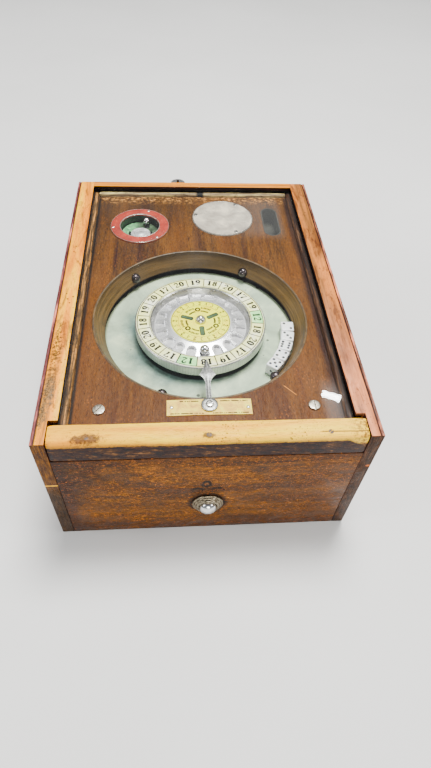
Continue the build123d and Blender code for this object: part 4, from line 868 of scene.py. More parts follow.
def lathe_bm(profile, cx, cy, segs=96, closed=False, bm=None, squash=1.0):
    """profile: (r, z) in mm, from one end to the other; revolved about the vertical at (cx, cy)."""
    bm = bm or bmesh.new()
    rings = []
    for r, z in profile:
        if r < 1e-6:
            rings.append([bm.verts.new((cx * MM, cy * MM, z * MM))])
        else:
            rings.append([bm.verts.new(((cx + r * math.cos(2 * math.pi * i / segs)) * MM,
                                        (cy + r * math.sin(2 * math.pi * i / segs) * squash) * MM, z * MM)) for i in range(segs)])
    pairs = list(zip(rings, rings[1:])) + ([(rings[-1], rings[0])] if closed else [])
    for a, b in pairs:
        if len(a) == 1 and len(b) == 1:
            continue
        for i in range(segs):
            j = (i + 1) % segs
            if len(a) == 1:
                bm.faces.new((a[0], b[i], b[j]))
            elif len(b) == 1:
                bm.faces.new((a[i], b[0], a[j]))
            else:
                bm.faces.new((a[i], b[i], b[j], a[j]))
    return bm


def flat_poly(bm, pts, z0, z1, mi=0):
    """Thin prism over a 2-D outline in mm."""
    lo = [bm.verts.new((x * MM, y * MM, z0 * MM)) for x, y in pts]
    hi = [bm.verts.new((x * MM, y * MM, z1 * MM)) for x, y in pts]
    n = len(pts)
    fs = [bm.faces.new(hi), bm.faces.new(list(reversed(lo)))]
    for i in range(n):
        j = (i + 1) % n
        fs.append(bm.faces.new((lo[i], lo[j], hi[j], hi[i])))
    for f in fs:
        f.material_index = mi
    return fs


def ribbon(bm, line, widths, put, z0, z1, mi=0):
    """A flat stroke of changing width along a 2-D centreline; put maps (u, v) to (x, y) in mm."""
    n = len(line)
    left, right = [], []
    for i, (u, v) in enumerate(line):
        a = line[max(0, i - 1)]
        b = line[min(n - 1, i + 1)]
        dx, dy = b[0] - a[0], b[1] - a[1]
        l = math.hypot(dx, dy) or 1.0
        nx, ny = -dy / l, dx / l
        w = widths[i] / 2 if hasattr(widths, "__len__") else widths / 2
        left.append((u + nx * w, v + ny * w))
        right.append((u - nx * w, v - ny * w))
    L0 = [bm.verts.new((*[c * MM for c in put(*p)], z1 * MM)) for p in left]
    R0 = [bm.verts.new((*[c * MM for c in put(*p)], z1 * MM)) for p in right]
    L1 = [bm.verts.new((*[c * MM for c in put(*p)], z0 * MM)) for p in left]
    R1 = [bm.verts.new((*[c * MM for c in put(*p)], z0 * MM)) for p in right]
    fs = []
    for i in range(n - 1):
        fs.append(bm.faces.new((R0[i], R0[i + 1], L0[i + 1], L0[i])))
        fs.append(bm.faces.new((L0[i], L0[i + 1], L1[i + 1], L1[i])))
        fs.append(bm.faces.new((R1[i], R1[i + 1], R0[i + 1], R0[i])))
        fs.append(bm.faces.new((L1[i], L1[i + 1], R1[i + 1], R1[i])))
    fs.append(bm.faces.new((L0[0], L1[0], R1[0], R0[0])))
    fs.append(bm.faces.new((R0[-1], R1[-1], L1[-1], L0[-1])))
    for f in fs:
        f.material_index = mi


def ring_flat(bm, cx, cy, r0, r1, z0, z1, a0=0.0, a1=360.0, seg=None, mi=0):
    full = abs(a1 - a0) >= 359.999
    seg = seg or max(6, int(abs(a1 - a0) / 3.0))
    pts = [math.radians(a0 + (a1 - a0) * i / seg) for i in range(seg + (0 if full else 1))]
    rows = []
    for r, z in ((r0, z0), (r0, z1), (r1, z1), (r1, z0)):
        rows.append([bm.verts.new(((cx + r * math.cos(a)) * MM, (cy + r * math.sin(a)) * MM, z * MM)) for a in pts])
    m = len(pts)
    fs = []
    for k in range(4):
        a, b = rows[k], rows[(k + 1) % 4]
        for i in range(m if full else m - 1):
            j = (i + 1) % m
            fs.append(bm.faces.new((a[i], b[i], b[j], a[j])))
    if not full:
        fs.append(bm.faces.new((rows[0][0], rows[1][0], rows[2][0], rows[3][0])))
        fs.append(bm.faces.new((rows[3][-1], rows[2][-1], rows[1][-1], rows[0][-1])))
    for f in fs:
        f.material_index = mi


def arc_pts(cx, cy, rx, ry, a0, a1, n=20):
    return [(cx + rx * math.cos(math.radians(a0 + (a1 - a0) * i / n)),
             cy + ry * math.sin(math.radians(a0 + (a1 - a0) * i / n))) for i in range(n + 1)]


def swell(n, thin, thick, phase="mid"):
    out = []
    for i in range(n):
        t = i / (n - 1)
        s = math.sin(math.pi * t) ** 2 if phase == "mid" else abs(math.cos(math.pi * t)) ** 2
        out.append(thin + (thick - thin) * s)
    return out


def glyph(ch):
    """Strokes of an old-style numeral in a box 1 high: list of (centreline, widths)."""
    T, t = 0.32, 0.17
    if ch == "1":
        return [([(0.29, 0.03), (0.29, 0.97)], [T, T]), ([(0.10, 0.03), (0.48, 0.03)], [t, t]),
                ([(0.07, 0.80), (0.20, 0.88), (0.30, 0.985)], [0.04, 0.08, 0.06])]
    if ch == "7":
        return [([(0.05, 0.91), (0.16, 0.93), (0.34, 0.91), (0.55, 0.93)], [0.13, 0.15, 0.12, 0.11]),
                ([(0.065, 0.99), (0.055, 0.72)], [t, t]),
                ([(0.535, 0.90), (0.40, 0.60), (0.29, 0.30), (0.26, 0.01)], [0.08, 0.15, T * 0.95, T])]
    if ch == "2":
        top = arc_pts(0.29, 0.72, 0.195, 0.235, 160, -20, 14)
        tail = [(0.465, 0.62), (0.36, 0.42), (0.20, 0.24), (0.07, 0.07)]
        return [(top + tail[1:], [0.11 + 0.16 * (max(0, math.sin(math.pi * i / 17)) ** 2) for i in range(len(top) + 3)]),
                ([(0.055, 0.075), (0.18, 0.10), (0.36, 0.055), (0.53, 0.085)], [0.11, 0.19, 0.22, 0.15]),
                ([(0.545, 0.06), (0.545, 0.27)], [0.10, 0.10]),
                (arc_pts(0.145, 0.73, 0.035, 0.04, 0, 360, 10), [0.075] * 11)]
    if ch == "0":
        n = 32
        line = arc_pts(0.30, 0.5, 0.19, 0.455, 90, 450, n)
        return [(line, [t + (T - t) * abs(math.cos(math.radians(90 + 360 * i / n))) ** 1.3 for i in range(n + 1)])]
    if ch == "8":
        n = 26
        a = arc_pts(0.30, 0.745, 0.15, 0.205, 90, 450, n)
        b = arc_pts(0.30, 0.265, 0.185, 0.225, 90, 450, n)
        w = [t + (T * 0.85 - t) * abs(math.cos(math.radians(90 + 360 * i / n))) ** 1.3 for i in range(n + 1)]
        return [(a, w), (b, w)]
    if ch == "9":
        n = 26
        a = arc_pts(0.29, 0.69, 0.18, 0.265, 90, 450, n)
        w = [t + (T - t) * abs(math.cos(math.radians(90 + 360 * i / n))) ** 1.3 for i in range(n + 1)]
        tail = [(0.475, 0.66), (0.47, 0.42), (0.41, 0.18), (0.29, 0.04), (0.16, 0.05)]
        return [(a, w), (tail, [0.17, 0.17, 0.13, 0.07, 0.05]), (arc_pts(0.155, 0.115, 0.035, 0.04, 0, 360, 10), [0.075] * 11)]
    # the rest serve the small figures on the label
    if ch == "3":
        return [(arc_pts(0.27, 0.745, 0.17, 0.2, 150, -80, 12), 0.12), (arc_pts(0.27, 0.27, 0.2, 0.24, 85, -150, 14), 0.13)]
    if ch == "4":
        return [([(0.42, 0.0), (0.42, 1.0)], 0.14), ([(0.40, 0.97), (0.05, 0.32), (0.58, 0.32)], 0.08)]
    if ch == "5":
        return [([(0.14, 0.95), (0.50, 0.95)], 0.12), ([(0.15, 0.97), (0.13, 0.55)], 0.08), (arc_pts(0.27, 0.31, 0.21, 0.27, 120, -150, 16), 0.13)]
    return [(arc_pts(0.28, 0.28, 0.2, 0.25, 0, 360, 18), 0.12), ([(0.42, 0.98), (0.2, 0.75), (0.09, 0.35)], 0.12)]


def numerals(bm, text, angle, r_base, height, width, gap, cx, cy, z0, z1, mi=0):
    """Figures standing on the circle r_base with their tops outwards, centred at an angle in degrees."""
    adv = 0.60 * width
    total = len(text) * adv + (len(text) - 1) * gap
    for k, ch in enumerate(text):
        start = -total / 2 + k * (adv + gap)

        def put(u, v, start=start):
            r = r_base + v * height
            s = start + u * width
            a = math.radians(angle) - s / (r_base + height * 0.5)
            return cx + r * math.cos(a), cy + r * math.sin(a)

        for line, w in glyph(ch):
            ww = [x * height * 0.92 for x in w] if hasattr(w, "__len__") else w * height * 0.92
            ratio = height / width
            # work in units of the figure's height so that stroke widths stay true
            pts = [(u * width / height, v) for u, v in line]

            def put2(u, v, start=start):
                r = r_base + v * height
                s = start + u * height
                a = math.radians(angle) - s / (r_base + height * 0.5)
                return cx + r * math.cos(a), cy + r * math.sin(a)

            ribbon(bm, pts, [x / height for x in ww] if hasattr(ww, "__len__") else ww / height, put2, z0, z1, mi)


def softened(node, mat, width, segs=2, angle=30, body=None, jitter=0.0, seed=0, name=None, subdivide=0):
    """A copy of a CAD piece's shape with its edges eased, as old woodwork has."""
    src = NODES[node].data
    bm = bmesh.new()
    bm.from_mesh(src)
    bmesh.ops.remove_doubles(bm, verts=bm.verts, dist=1e-6)
    bmesh.ops.dissolve_limit(bm, angle_limit=math.radians(0.6), verts=bm.verts, edges=bm.edges)
    edges = [e for e in bm.edges if len(e.link_faces) == 2 and e.calc_face_angle(0) > math.radians(angle)]
    bmesh.ops.bevel(bm, geom=edges, offset=width * MM, segments=segs, profile=0.5, affect="EDGES",
                    clamp_overlap=True, loop_slide=True)
    if jitter:
        # cut the long faces so that the eased edges can wander a little
        for k in range(subdivide):
            long = [e for e in bm.edges if e.calc_length() > 0.012]
            if not long:
                break
            bmesh.ops.subdivide_edges(bm, edges=long, cuts=1, use_grid_fill=False)
        lo, hi = cad_lo, cad_hi
        for v in bm.verts:
            w = noise.noise(v.co * 130 + Vector((seed, 0, 0))) * 0.6 + noise.noise(v.co * 420 + Vector((0, seed, 0))) * 0.4
            n = v.normal
            v.co -= n * (abs(w) * jitter * MM)
    return add(name or node + "_shape", bm, mat, body or BODY_OF[node], (node,), smooth=35)


# =================================================================== the case
softened("side_board_left", "side_l", 0.8, 2)
softened("side_board_right", "side_r", 0.8, 2)
softened("back_board", "back", 0.7, 2)
softened("front_panel", "front", 0.8, 2)


def rounded_bar(name, x0, x1, profile, mat, body, replaces, seed, amp, axis="X", n=150):
    """A bar with one cross-section along X or Y; its corners are worn unevenly. profile: (across, z, wear)."""
    rnd = random.Random(seed)
    bm = bmesh.new()
    rings = []
    m = len(profile)
    ccx = sum(p[0] for p in profile) / m
    ccz = sum(p[1] for p in profile) / m
    for i in range(n + 1):
        t = x0 + (x1 - x0) * i / n
        e = min(i, n - i)
        inset = {0: 0.9, 1: 0.25, 2: 0.05}.get(e, 0.0)
        ring = []
        for a, z, w in profile:
            k = 0.5 + 0.5 * noise.noise(Vector((t * 0.045 + seed, a * 0.12, z * 0.12)))
            k2 = 0.5 + 0.5 * noise.noise(Vector((t * 0.35 + seed, a * 0.3, z * 0.3)))
            d = amp * w * (0.65 * k + 0.35 * k2 * k2) + inset
            l = math.hypot(ccx - a, ccz - z)
            aa = a + (ccx - a) / l * d
            zz = z + (ccz - z) / l * d
            ring.append(bm.verts.new((t * MM, aa * MM, zz * MM) if axis == "X" else (aa * MM, t * MM, zz * MM)))
        rings.append(ring)
    for a, b in zip(rings, rings[1:]):
        for k in range(m):
            j = (k + 1) % m
            bm.faces.new((a[k], a[j], b[j], b[k]))
    bm.faces.new(list(reversed(rings[0])))
    bm.faces.new(rings[-1])
    return add(name, bm, mat, body, replaces, smooth=50)


def corner(cx, cz, r, a0, a1, n, w):
    return [(cx + r * math.cos(math.radians(a0 + (a1 - a0) * i / n)),
             cz + r * math.sin(math.radians(a0 + (a1 - a0) * i / n)), w) for i in range(n + 1)]


RY0, RY1, RZ0, RZ1 = -HY, -HY + 19.0, 128.8, 153.4
prof = (corner(RY0 + 5.0, RZ1 - 5.0, 5.0, 180, 90, 12, 1.0) + corner(RY1 - 1.2, RZ1 - 1.2, 1.2, 90, 0, 4, 0.8)
        + [(RY1, GZ, 0.0) for GZ in (150.0, 140.0)] + corner(RY1 - 0.8, RZ0 + 0.8, 0.8, 0, -90, 2, 0.3)
        + corner(RY0 + 1.0, RZ0 + 1.0, 1.0, -90, -180, 3, 0.6))
top_mid = [(RY0 + 10.0, RZ1, 0.5), (RY0 + 14.0, RZ1, 0.5)]
prof = prof[:13] + top_mid + prof[13:]
rounded_bar("lid_rail_bar", -128.0, 128.0, prof, "rail", "lid", ("lid_rail",), 7, 0.9)

# bead strips: small rounded mouldings under the glass
for s, nm, mt in ((-1, "bead_left_strip", "bead_l"), (1, "bead_right_strip", "bead_r")):
    xo, xi = s * 120.6, s * 114.7
    pr = [(xo, 142.0, 0), (xo, 146.1, 0.0), ((xo * 0.6 + xi * 0.4), 146.1, 0.3)]
    for i in range(7):
        a = math.radians(90 * i / 6)
        pr.append((xi + s * 2.6 * (1 - math.sin(a)), 143.5 + 2.6 * math.cos(a) - 0.0, 1.0))
    pr.append((xi, 142.0, 0))
    if s > 0:
        pr = list(reversed(pr))
    rounded_bar(nm, -168.6, 181.4, pr, mt, "case", ("bead_sides",) if s < 0 else (), 11 + s, 0.35, axis="Y", n=120)
pr = [(181.4, 142.0, 0), (181.4, 146.1, 0), (179.8, 146.1, 0.4)]
for i in range(6):
    a = math.radians(90 * i / 5)
    pr.append((177.1 + 2.2 * (1 - math.sin(a)), 143.9 + 2.2 * math.cos(a), 1.0))
pr.append((177.1, 142.0, 0))
rounded_bar("bead_back_strip", -114.6, 114.6, pr, "bead_b", "case", ("bead_back",), 17, 0.35, n=90)


# ================================================================ screws and pins
def slotted(name, spots, r, h, z, mat, body, replaces, slot_w, dome=0.25, counter=True):
    """Domed slotted screw heads: (x, y, angle of the slot)."""
    bm = bmesh.new()
    for x, y, ang in spots:
        hw = slot_w / 2
        seg = 48
        prof = [(r, z), (r * 0.985, z + h * 0.55), (r * 0.93, z + h * 0.82), (r * 0.78, z + h * 0.93), (r * 0.45, z + h * 0.985), (0.0, z + h)]
        sub = bmesh.new()
        lathe_bm([(r, z)] + prof[1:], 0, 0, seg, bm=sub)
        # press the slot into the head: verts inside the band go down, the band's walls are cut in first
        for px in (-hw, -hw * 0.94, hw * 0.94, hw):
            geom = sub.verts[:] + sub.edges[:] + sub.faces[:]
            bmesh.ops.bisect_plane(sub, geom=geom, plane_co=(0, px * MM, 0), plane_no=(0, 1, 0))
        for v in sub.verts:
            if abs(v.co.y) <= hw * 0.95 * MM:
                v.co.z = min(v.co.z, (z + h * 0.42) * MM)
        R = Matrix.Rotation(math.radians(ang), 4, "Z")
        T = Matrix.Translation((x * MM, y * MM, 0))
        sub.transform(T @ R)
        tmp = bpy.data.meshes.new("tmp")
        sub.to_mesh(tmp)
        sub.free()
        bm.from_mesh(tmp)
        bpy.data.meshes.remove(tmp)
    return add(name, bm, mat, body, replaces, smooth=32)


slotted("panel_screw_heads", [(-91.3, -151.0, 52), (91.3, -151.0, 92)], 5.3, 2.0, 142.0, "screw", "case", ("panel_screws",), 1.25)
slotted("cover_screw_heads", [(COX, COY, a) for COX, COY, a in
                              [(32.7 + 32 * math.cos(math.radians(t)), 131.2 + 32 * math.sin(math.radians(t)), t * 1.3) for t in (171, 58, -65)]],
        2.3, 1.0, 143.4, "nickel", "case", ("cover_plate_screws",), 0.6)
slotted("pointer_screw_head", [(1.2, -148.7, 20)], 3.4, 1.5, 144.6, "nickel", "case", ("pointer_screw",), 0.8)
slotted("rail_screw_heads", [(-97.5, -185.6, 15), (-1.6, -185.6, 80), (96.5, -185.6, 40)], 2.3, 0.6, 152.6, "screw_dark", "lid", ("lid_rail_screws",), 0.6)

# small domed dress pins
bm = bmesh.new()
for x, y, z, r in [(-31.0, -150.6, 143.2, 1.5), (34.0, -151.6, 143.2, 1.5)] + [
        (-64.2 + 30.6 * math.cos(math.radians(a)), 114.4 + 30.6 * math.sin(math.radians(a)), 143.6, 1.6) for a in (72, 188, 310)]:
    lathe_bm([(r, z - 0.1), (r, z + 0.12), (r * 0.8, z + 0.42), (r * 0.4, z + 0.56), (0, z + 0.6)], x, y, 24, bm=bm)
add("dress_pin_heads", bm, "pin", "case", ("dress_pins",))

# ================================================================ well and wheel
# thin bright lip of the well hoop
bm = lathe_bm([(103.0, 141.6), (103.05, 142.2), (103.5, 142.5), (104.3, 142.5), (104.9, 142.25), (105.1, 142.02), (105.1, 141.6)], WX, WY, 240)
add("well_lip", bm, "hoop_edge", "case")

# number ring: card with printed cells
Z0 = 136.4
bm = bmesh.new()
lathe_bm([(50.0, Z0), (50.1, Z0 + 0.34), (50.3, Z0 + 0.4), (63.0, Z0 + 0.4), (63.25, Z0 + 0.34), (63.3, Z0)], WX, WY, 240, closed=True, bm=bm)
add("number_card_ring", bm, "num_card", "spinner", ("number_ring",))
SEQ = ["19", "18", "20", "17", "19", "12", "18", "20", "17", "19", "18", "12", "17", "19", "20", "18", "19", "20", "17", "20"]
bm = bmesh.new()
zt = Z0 + 0.4
for k, t in enumerate(SEQ):
    a = 93.0 - 18.0 * k
    if t == "12":
        ring_flat(bm, WX, WY, 51.4, 62.1, zt - 0.05, zt + 0.02, a - 8.7, a + 8.7, 12, mi=1)
for k, t in enumerate(SEQ):
    a = 93.0 - 18.0 * k
    mi = 2 if t == "12" else 0
    numerals(bm, t, a, 53.3, 7.3, 8.6, 0.5, WX, WY, zt - 0.05, zt + 0.06, mi=mi)
    # divider between cells, drawn a little heavier here and there
    d = math.radians(a - 9.0)
    ribbon(bm, [(50.8, 0), (62.3, 0)], [0.85 + 0.15 * (k % 3), 0.8 + 0.15 * (k % 2)],
           lambda u, v, d=d: (WX + u * math.cos(d) - v * math.sin(d), WY + u * math.sin(d) + v * math.cos(d)), zt - 0.05, zt + 0.05)
for k in range(20):
    a = 93.0 - 18.0 * k
    ring_flat(bm, WX, WY, 61.85, 62.65, zt - 0.05, zt + 0.045, a - 9.0, a + 9.0, 10)
    ring_flat(bm, WX, WY, 50.4, 50.95, zt - 0.05, zt + 0.045, a - 9.0, a + 9.0, 10)
add("number_print", bm, "ink", "spinner", smooth=0, extra_mats=("num_green", "ink_green"))

# centre label
bm = bmesh.new()
lathe_bm([(4.0, 134.42), (4.0, 135.0), (29.2, 135.0), (29.5, 134.85), (29.5, 134.42)], WX, WY, 160, closed=True, bm=bm)
add("label_disc", bm, "lab_card", "spinner", ("wheel_label",))
bm = bmesh.new()
zl = 135.0
ring_flat(bm, WX, WY, 28.5, 29.05, zl - 0.05, zl + 0.05, mi=0)
ring_flat(bm, WX, WY, 22.0, 22.25, zl - 0.05, zl + 0.05, mi=1)
FIG = ["2", "4", "3", "5", "2", "3", "6", "2", "4", "3", "2", "5", "3", "2", "4", "2", "3", "5", "2", "3", "4", "2", "5", "3"]
for k, t in enumerate(FIG):
    numerals(bm, t, 90 - 360.0 / len(FIG) * k, 23.2, 4.4, 4.8, 0.2, WX, WY, zl - 0.05, zl + 0.05, mi=1)
for a0 in (30.0, 160.0, -86.0):
    d = math.radians(a0)
    put = lambda u, v, d=d: (WX + u * math.cos(d) - v * math.sin(d), WY + u * math.sin(d) + v * math.cos(d))
    for w, z1, mi in ((4.9, zl + 0.05, 0), (3.7, zl + 0.10, 2)):
        hw = w / 2
        r0, r1 = 7.6 + (4.9 - w) / 2, 20.6 - (4.9 - w) / 2
        out = [put(r1 - hw * 0.55 + hw * 0.55 * math.cos(math.radians(t)), hw * math.sin(math.radians(t))) for t in range(-90, 91, 15)]
        out += [put(r0 + hw * 0.55 - hw * 0.55 * math.cos(math.radians(t)), -hw * math.sin(math.radians(t))) for t in range(-90, 91, 15)]
        flat_poly(bm, out, zl - 0.05, z1, mi)
for a0 in (98.0, 219.0, 334.0):
    d = math.radians(a0)
    x, y = WX + 16.6 * math.cos(d), WY + 16.6 * math.sin(d)
    ring_flat(bm, x, y, 1.3, 2.9, zl - 0.05, zl + 0.09, mi=0, seg=28)
    # plain ticks and dots where the real label carries words
    for side in (-1, 1):
        for j in range(7):
            aa = a0 + side * (13.0 + j * 4.6)
            for rr, ln in ((14.2, 1.9), (18.8, 2.6 if j % 3 != 1 else 1.7)):
                if ln:
                    e = math.radians(aa)
                    ribbon(bm, [(rr - ln / 2, 0), (rr + ln / 2, 0)], [1.0, 0.9],
                           lambda u, v, e=e: (WX + u * math.cos(e) - v * math.sin(e), WY + u * math.sin(e) + v * math.cos(e)),
                           zl - 0.05, zl + 0.05, 1)
add("label_print", bm, "ink", "spinner", smooth=0, extra_mats=("ink_soft", "lab_green"))

bm = lathe_bm([(5.2, 134.9), (5.35, 135.5), (5.2, 136.4), (4.9, 137.2), (4.4, 138.4), (3.4, 139.6), (2.0, 140.5), (0.8, 140.9), (0, 141.0)], WX, WY, 64)
add("centre_dome", bm, "nickel", "spinner", ("centre_nut",), smooth=60)

# ================================================================ dice
PIPS = {1: [(0, 0)], 2: [(-1, 1), (1, -1)], 3: [(-1, 1), (0, 0), (1, -1)], 4: [(-1, -1), (-1, 1), (1, -1), (1, 1)],
        5: [(-1, -1), (-1, 1), (1, -1), (1, 1), (0, 0)], 6: [(-1, -1), (-1, 0), (-1, 1), (1, -1), (1, 0), (1, 1)]}
DIE = 12.7
DICE = [(-3.4, 2, 3), (-12.3, 3, 5), (-21.2, 6, 4), (-30.1, 4, 2), (-39.0, 5, 1)]
bmw, bmp = bmesh.new(), bmesh.new()
rnd = random.Random(4)
for ang, topv, frontv in DICE:
    # faces: top, front (towards the next die clockwise), inner side, and their opposites
    rest = [v for v in range(1, 7) if v not in (topv, 7 - topv, frontv, 7 - frontv)]
    faces = {(0, 0, 1): topv, (0, 0, -1): 7 - topv, (0, -1, 0): frontv, (0, 1, 0): 7 - frontv, (-1, 0, 0): rest[0], (1, 0, 0): rest[1]}
    one = bmesh.new()
    bmesh.ops.create_cube(one, size=DIE * MM)
    bmesh.ops.bevel(one, geom=one.edges[:], offset=1.25 * MM, segments=4, profile=0.5, affect="EDGES")
    two = bmesh.new()
    for n, v in faces.items():
        n = Vector(n)
        u = Vector((1, 0, 0)) if abs(n.x) < 0.5 else Vector((0, 1, 0))
        w = n.cross(u)
        if n.z > 0:
            u, w = Vector((1, 0, 0)), Vector((0, 1, 0))
        for a, b in PIPS[v]:
            c = (n * (DIE / 2) + u * a * 3.25 + w * b * 3.25) * MM
            rings = []
            for rr, up in ((1.38, -0.02), (1.35, 0.03), (0.9, 0.012), (0.4, 0.0)):
                rings.append([two.verts.new(c + (u * math.cos(t) + w * math.sin(t)) * rr * MM + n * up * MM)
                              for t in [2 * math.pi * i / 18 for i in range(18)]])
            for A, B in zip(rings, rings[1:]):
                for i in range(18):
                    j = (i + 1) % 18
                    two.faces.new((A[i], A[j], B[j], B[i]))
            two.faces.new(rings[-1])
    x = WX + 87.2 * math.cos(math.radians(ang))
    y = WY + 87.2 * math.sin(math.radians(ang))
    T = Matrix.Translation((x * MM, y * MM, (119.3 + DIE / 2) * MM)) @ Matrix.Rotation(math.radians(ang), 4, "Z")
    for part, into in ((one, bmw), (two, bmp)):
        part.transform(T)
        tmp = bpy.data.meshes.new("tmp")
        part.to_mesh(tmp)
        part.free()
        into.from_mesh(tmp)
        bpy.data.meshes.remove(tmp)
add("dice_cubes", bmw, "die", "dice_row", ("dice",), smooth=60)
add("dice_pips", bmp, "pip", "dice_row", smooth=0)

# ================================================================ plate, pointer
bm = bmesh.new()
nx, ny = 40, 10
x0, x1, y0, y1 = 1.2 - 36.2, 1.2 + 35.8, -158.6, -142.2
grid = []
for i in range(nx + 1):
    row = []
    for j in range(ny + 1):
        x = x0 + (x1 - x0) * i / nx
        y = y0 + (y1 - y0) * j / ny
        bow = 0.55 * math.sin(math.pi * (x - x0) / (x1 - x0)) + 0.12 * math.sin(3.1 * i / nx + j * 0.3)
        yy = y - 0.9 * ((x - 1.0) / 36.0) ** 2 * 0.4
        row.append(bm.verts.new((x * MM, yy * MM, (142.75 + 0.22 * bow) * MM)))
    grid.append(row)
for i in range(nx):
    for j in range(ny):
        bm.faces.new((grid[i][j], grid[i + 1][j], grid[i + 1][j + 1], grid[i][j + 1]))
geo = bmesh.ops.extrude_face_region(bm, geom=bm.faces[:])
for v in [g for g in geo["geom"] if isinstance(g, bmesh.types.BMVert)]:
    v.co.z = 142.02 * MM
add("cream_plate_shape", bm, "cream", "case", ("pointer_plate",), smooth=40)

# plain rules and dashes stand where the plate carried its wording
bm = bmesh.new()
rnd = random.Random(9)
for y, spans in ((-144.3, ((-24, -8.0), (10.5, 34))), (-157.1, ((-32, -4), (3.5, 34)))):
    for a, b in spans:
        x = a
        while x < b:
            w = rnd.choice((0.8, 1.2, 1.2, 3.0, 6.5))
            w = min(w, b - x)
            zz = 142.75 + 0.22 * (0.55 * math.sin(math.pi * (x + w / 2 - x0) / (x1 - x0))) + 0.06
            flat_poly(bm, [(x, y - 0.5), (x + w, y - 0.5), (x + w, y + 0.5), (x, y + 0.5)], zz - 0.2, zz)
            x += w + rnd.choice((0.5, 0.8, 1.2))
add("plate_rules", bm, "ink_brown", "case", smooth=0)

# pointer: pressed leaf with a raised rib, washer end and a fine tip
bm = bmesh.new()
half = [(2.45, -142.0), (2.25, -135.0), (2.1, -127.0), (2.3, -123.6), (2.9, -121.2), (4.3, -118.5), (7.15, -115.8), (6.2, -113.9), (4.7, -111.2),
        (3.7, -108.2), (2.4, -104.6), (1.5, -101.2), (0.8, -98.4), (0.2, -96.7)]
rows = []
for x, y in half:
    lift = 0.35 * math.exp(-((y + 114) / 8.0) ** 2)
    rows.append([bm.verts.new(((1.2 + k * x) * MM, y * MM, (144.35 + lift + (0.45 if abs(k) < 0.5 else 0.0) - (0.15 if abs(k) == 1 else 0) + (0.25 * math.sin(y * 1.35) if -141 < y < -124 and abs(k) < 0.7 else 0.0)) * MM))
                 for k in (-1, -0.62, -0.25, 0.25, 0.62, 1)])
for a, b in zip(rows, rows[1:]):
    for i in range(5):
        bm.faces.new((a[i], a[i + 1], b[i + 1], b[i]))
geo = bmesh.ops.extrude_face_region(bm, geom=bm.faces[:])
for v in [g for g in geo["geom"] if isinstance(g, bmesh.types.BMVert)]:
    v.co.z -= 0.9 * MM
lathe_bm([(1.7, 143.3), (1.7, 144.5), (4.2, 144.75), (6.6, 144.6), (7.2, 144.2), (7.2, 143.3)], 1.2, -148.7, 72, closed=True, bm=bm)
add("pointer_leaf", bm, "leaf", "case", ("pointer",), smooth=40)
# the bright pressed edges of its two horns
bm = bmesh.new()
for k in (-1, 1):
    line_ = [(1.2 + k * x, y) for x, y in ((2.25, -123.8), (2.8, -121.3), (4.2, -118.6), (5.6, -117.1), (6.9, -116.0))]
    ribbon(bm, line_, [0.4, 0.75, 0.9, 0.85, 0.5], lambda u, v: (u, v), 144.2, 144.85)
add("pointer_edges", bm, "leaf_edge", "case", smooth=0)

# ================================================================ coin window
CX, CY = -64.2, 114.4
bm = lathe_bm([(22.4, 142.0), (22.45, 143.3), (22.8, 143.65), (23.5, 143.7), (31.9, 143.7), (32.8, 143.6), (33.2, 143.2), (33.2, 142.0)], CX, CY, 128, closed=True)
add("red_ring", bm, "red", "case", ("coin_window_ring",), smooth=50)
bm = lathe_bm([(22.15, 143.35), (22.2, 143.75), (22.55, 143.88), (22.95, 143.75), (22.95, 143.45)], CX, CY, 96, closed=True)
lathe_bm([(32.75, 143.4), (32.8, 143.72), (33.15, 143.74), (33.35, 143.4), (33.35, 143.0)], CX, CY, 128, closed=True, bm=bm)
add("red_ring_edges", bm, "pin", "case")

# coin with a plain raised border and rings
QX, QY = CX + 0.4, CY - 3.8
bm = lathe_bm([(0, 133.52), (11.0, 133.52), (11.2, 133.7), (11.2, 135.1), (11.05, 135.3), (10.2, 135.3), (9.95, 135.05), (7.6, 135.0),
               (7.4, 135.18), (6.9, 135.2), (6.7, 135.0), (3.2, 135.0), (2.6, 135.22), (0, 135.28)], QX, QY, 96)
add("coin_disc", bm, "coin", "flap", ("coin",), smooth=40)
# dark shoulder of the coin rest, two short arcs in front of the coin
bm = bmesh.new()
for a0, a1 in ((166, 214), (326, 374)):
    ring_flat(bm, QX, QY, 11.4, 13.6, 133.5, 135.9, a0, a1, 12)
add("coin_rest", bm, "pip", "flap", smooth=0)
# painted shade: a dark disc laid at the foot of the stop's stem
bm = lathe_bm([(3.0, 133.5), (3.0, 134.1), (2.4, 134.4), (0, 134.5)], CX + 7.6, CY + 11.6, 32)
add("stop_shadow_disc", bm, "pip", "flap", smooth=40)
bm = lathe_bm([(3.9, 133.5), (3.9, 133.9), (1.8, 134.3), (1.5, 136.6)], CX + 7.0, CY + 15.9, 32)
tmp = bmesh.new()
bmesh.ops.create_uvsphere(tmp, u_segments=40, v_segments=24, radius=4.0 * MM)
tmp.transform(Matrix.Translation(((CX + 7.0) * MM, (CY + 15.9) * MM, 138.6 * MM)))
m_ = bpy.data.meshes.new("tmp")
tmp.to_mesh(m_)
tmp.free()
bm.from_mesh(m_)
bpy.data.meshes.remove(m_)
add("stop_button", bm, "chrome", "flap", ("flap_stop",), smooth=60)

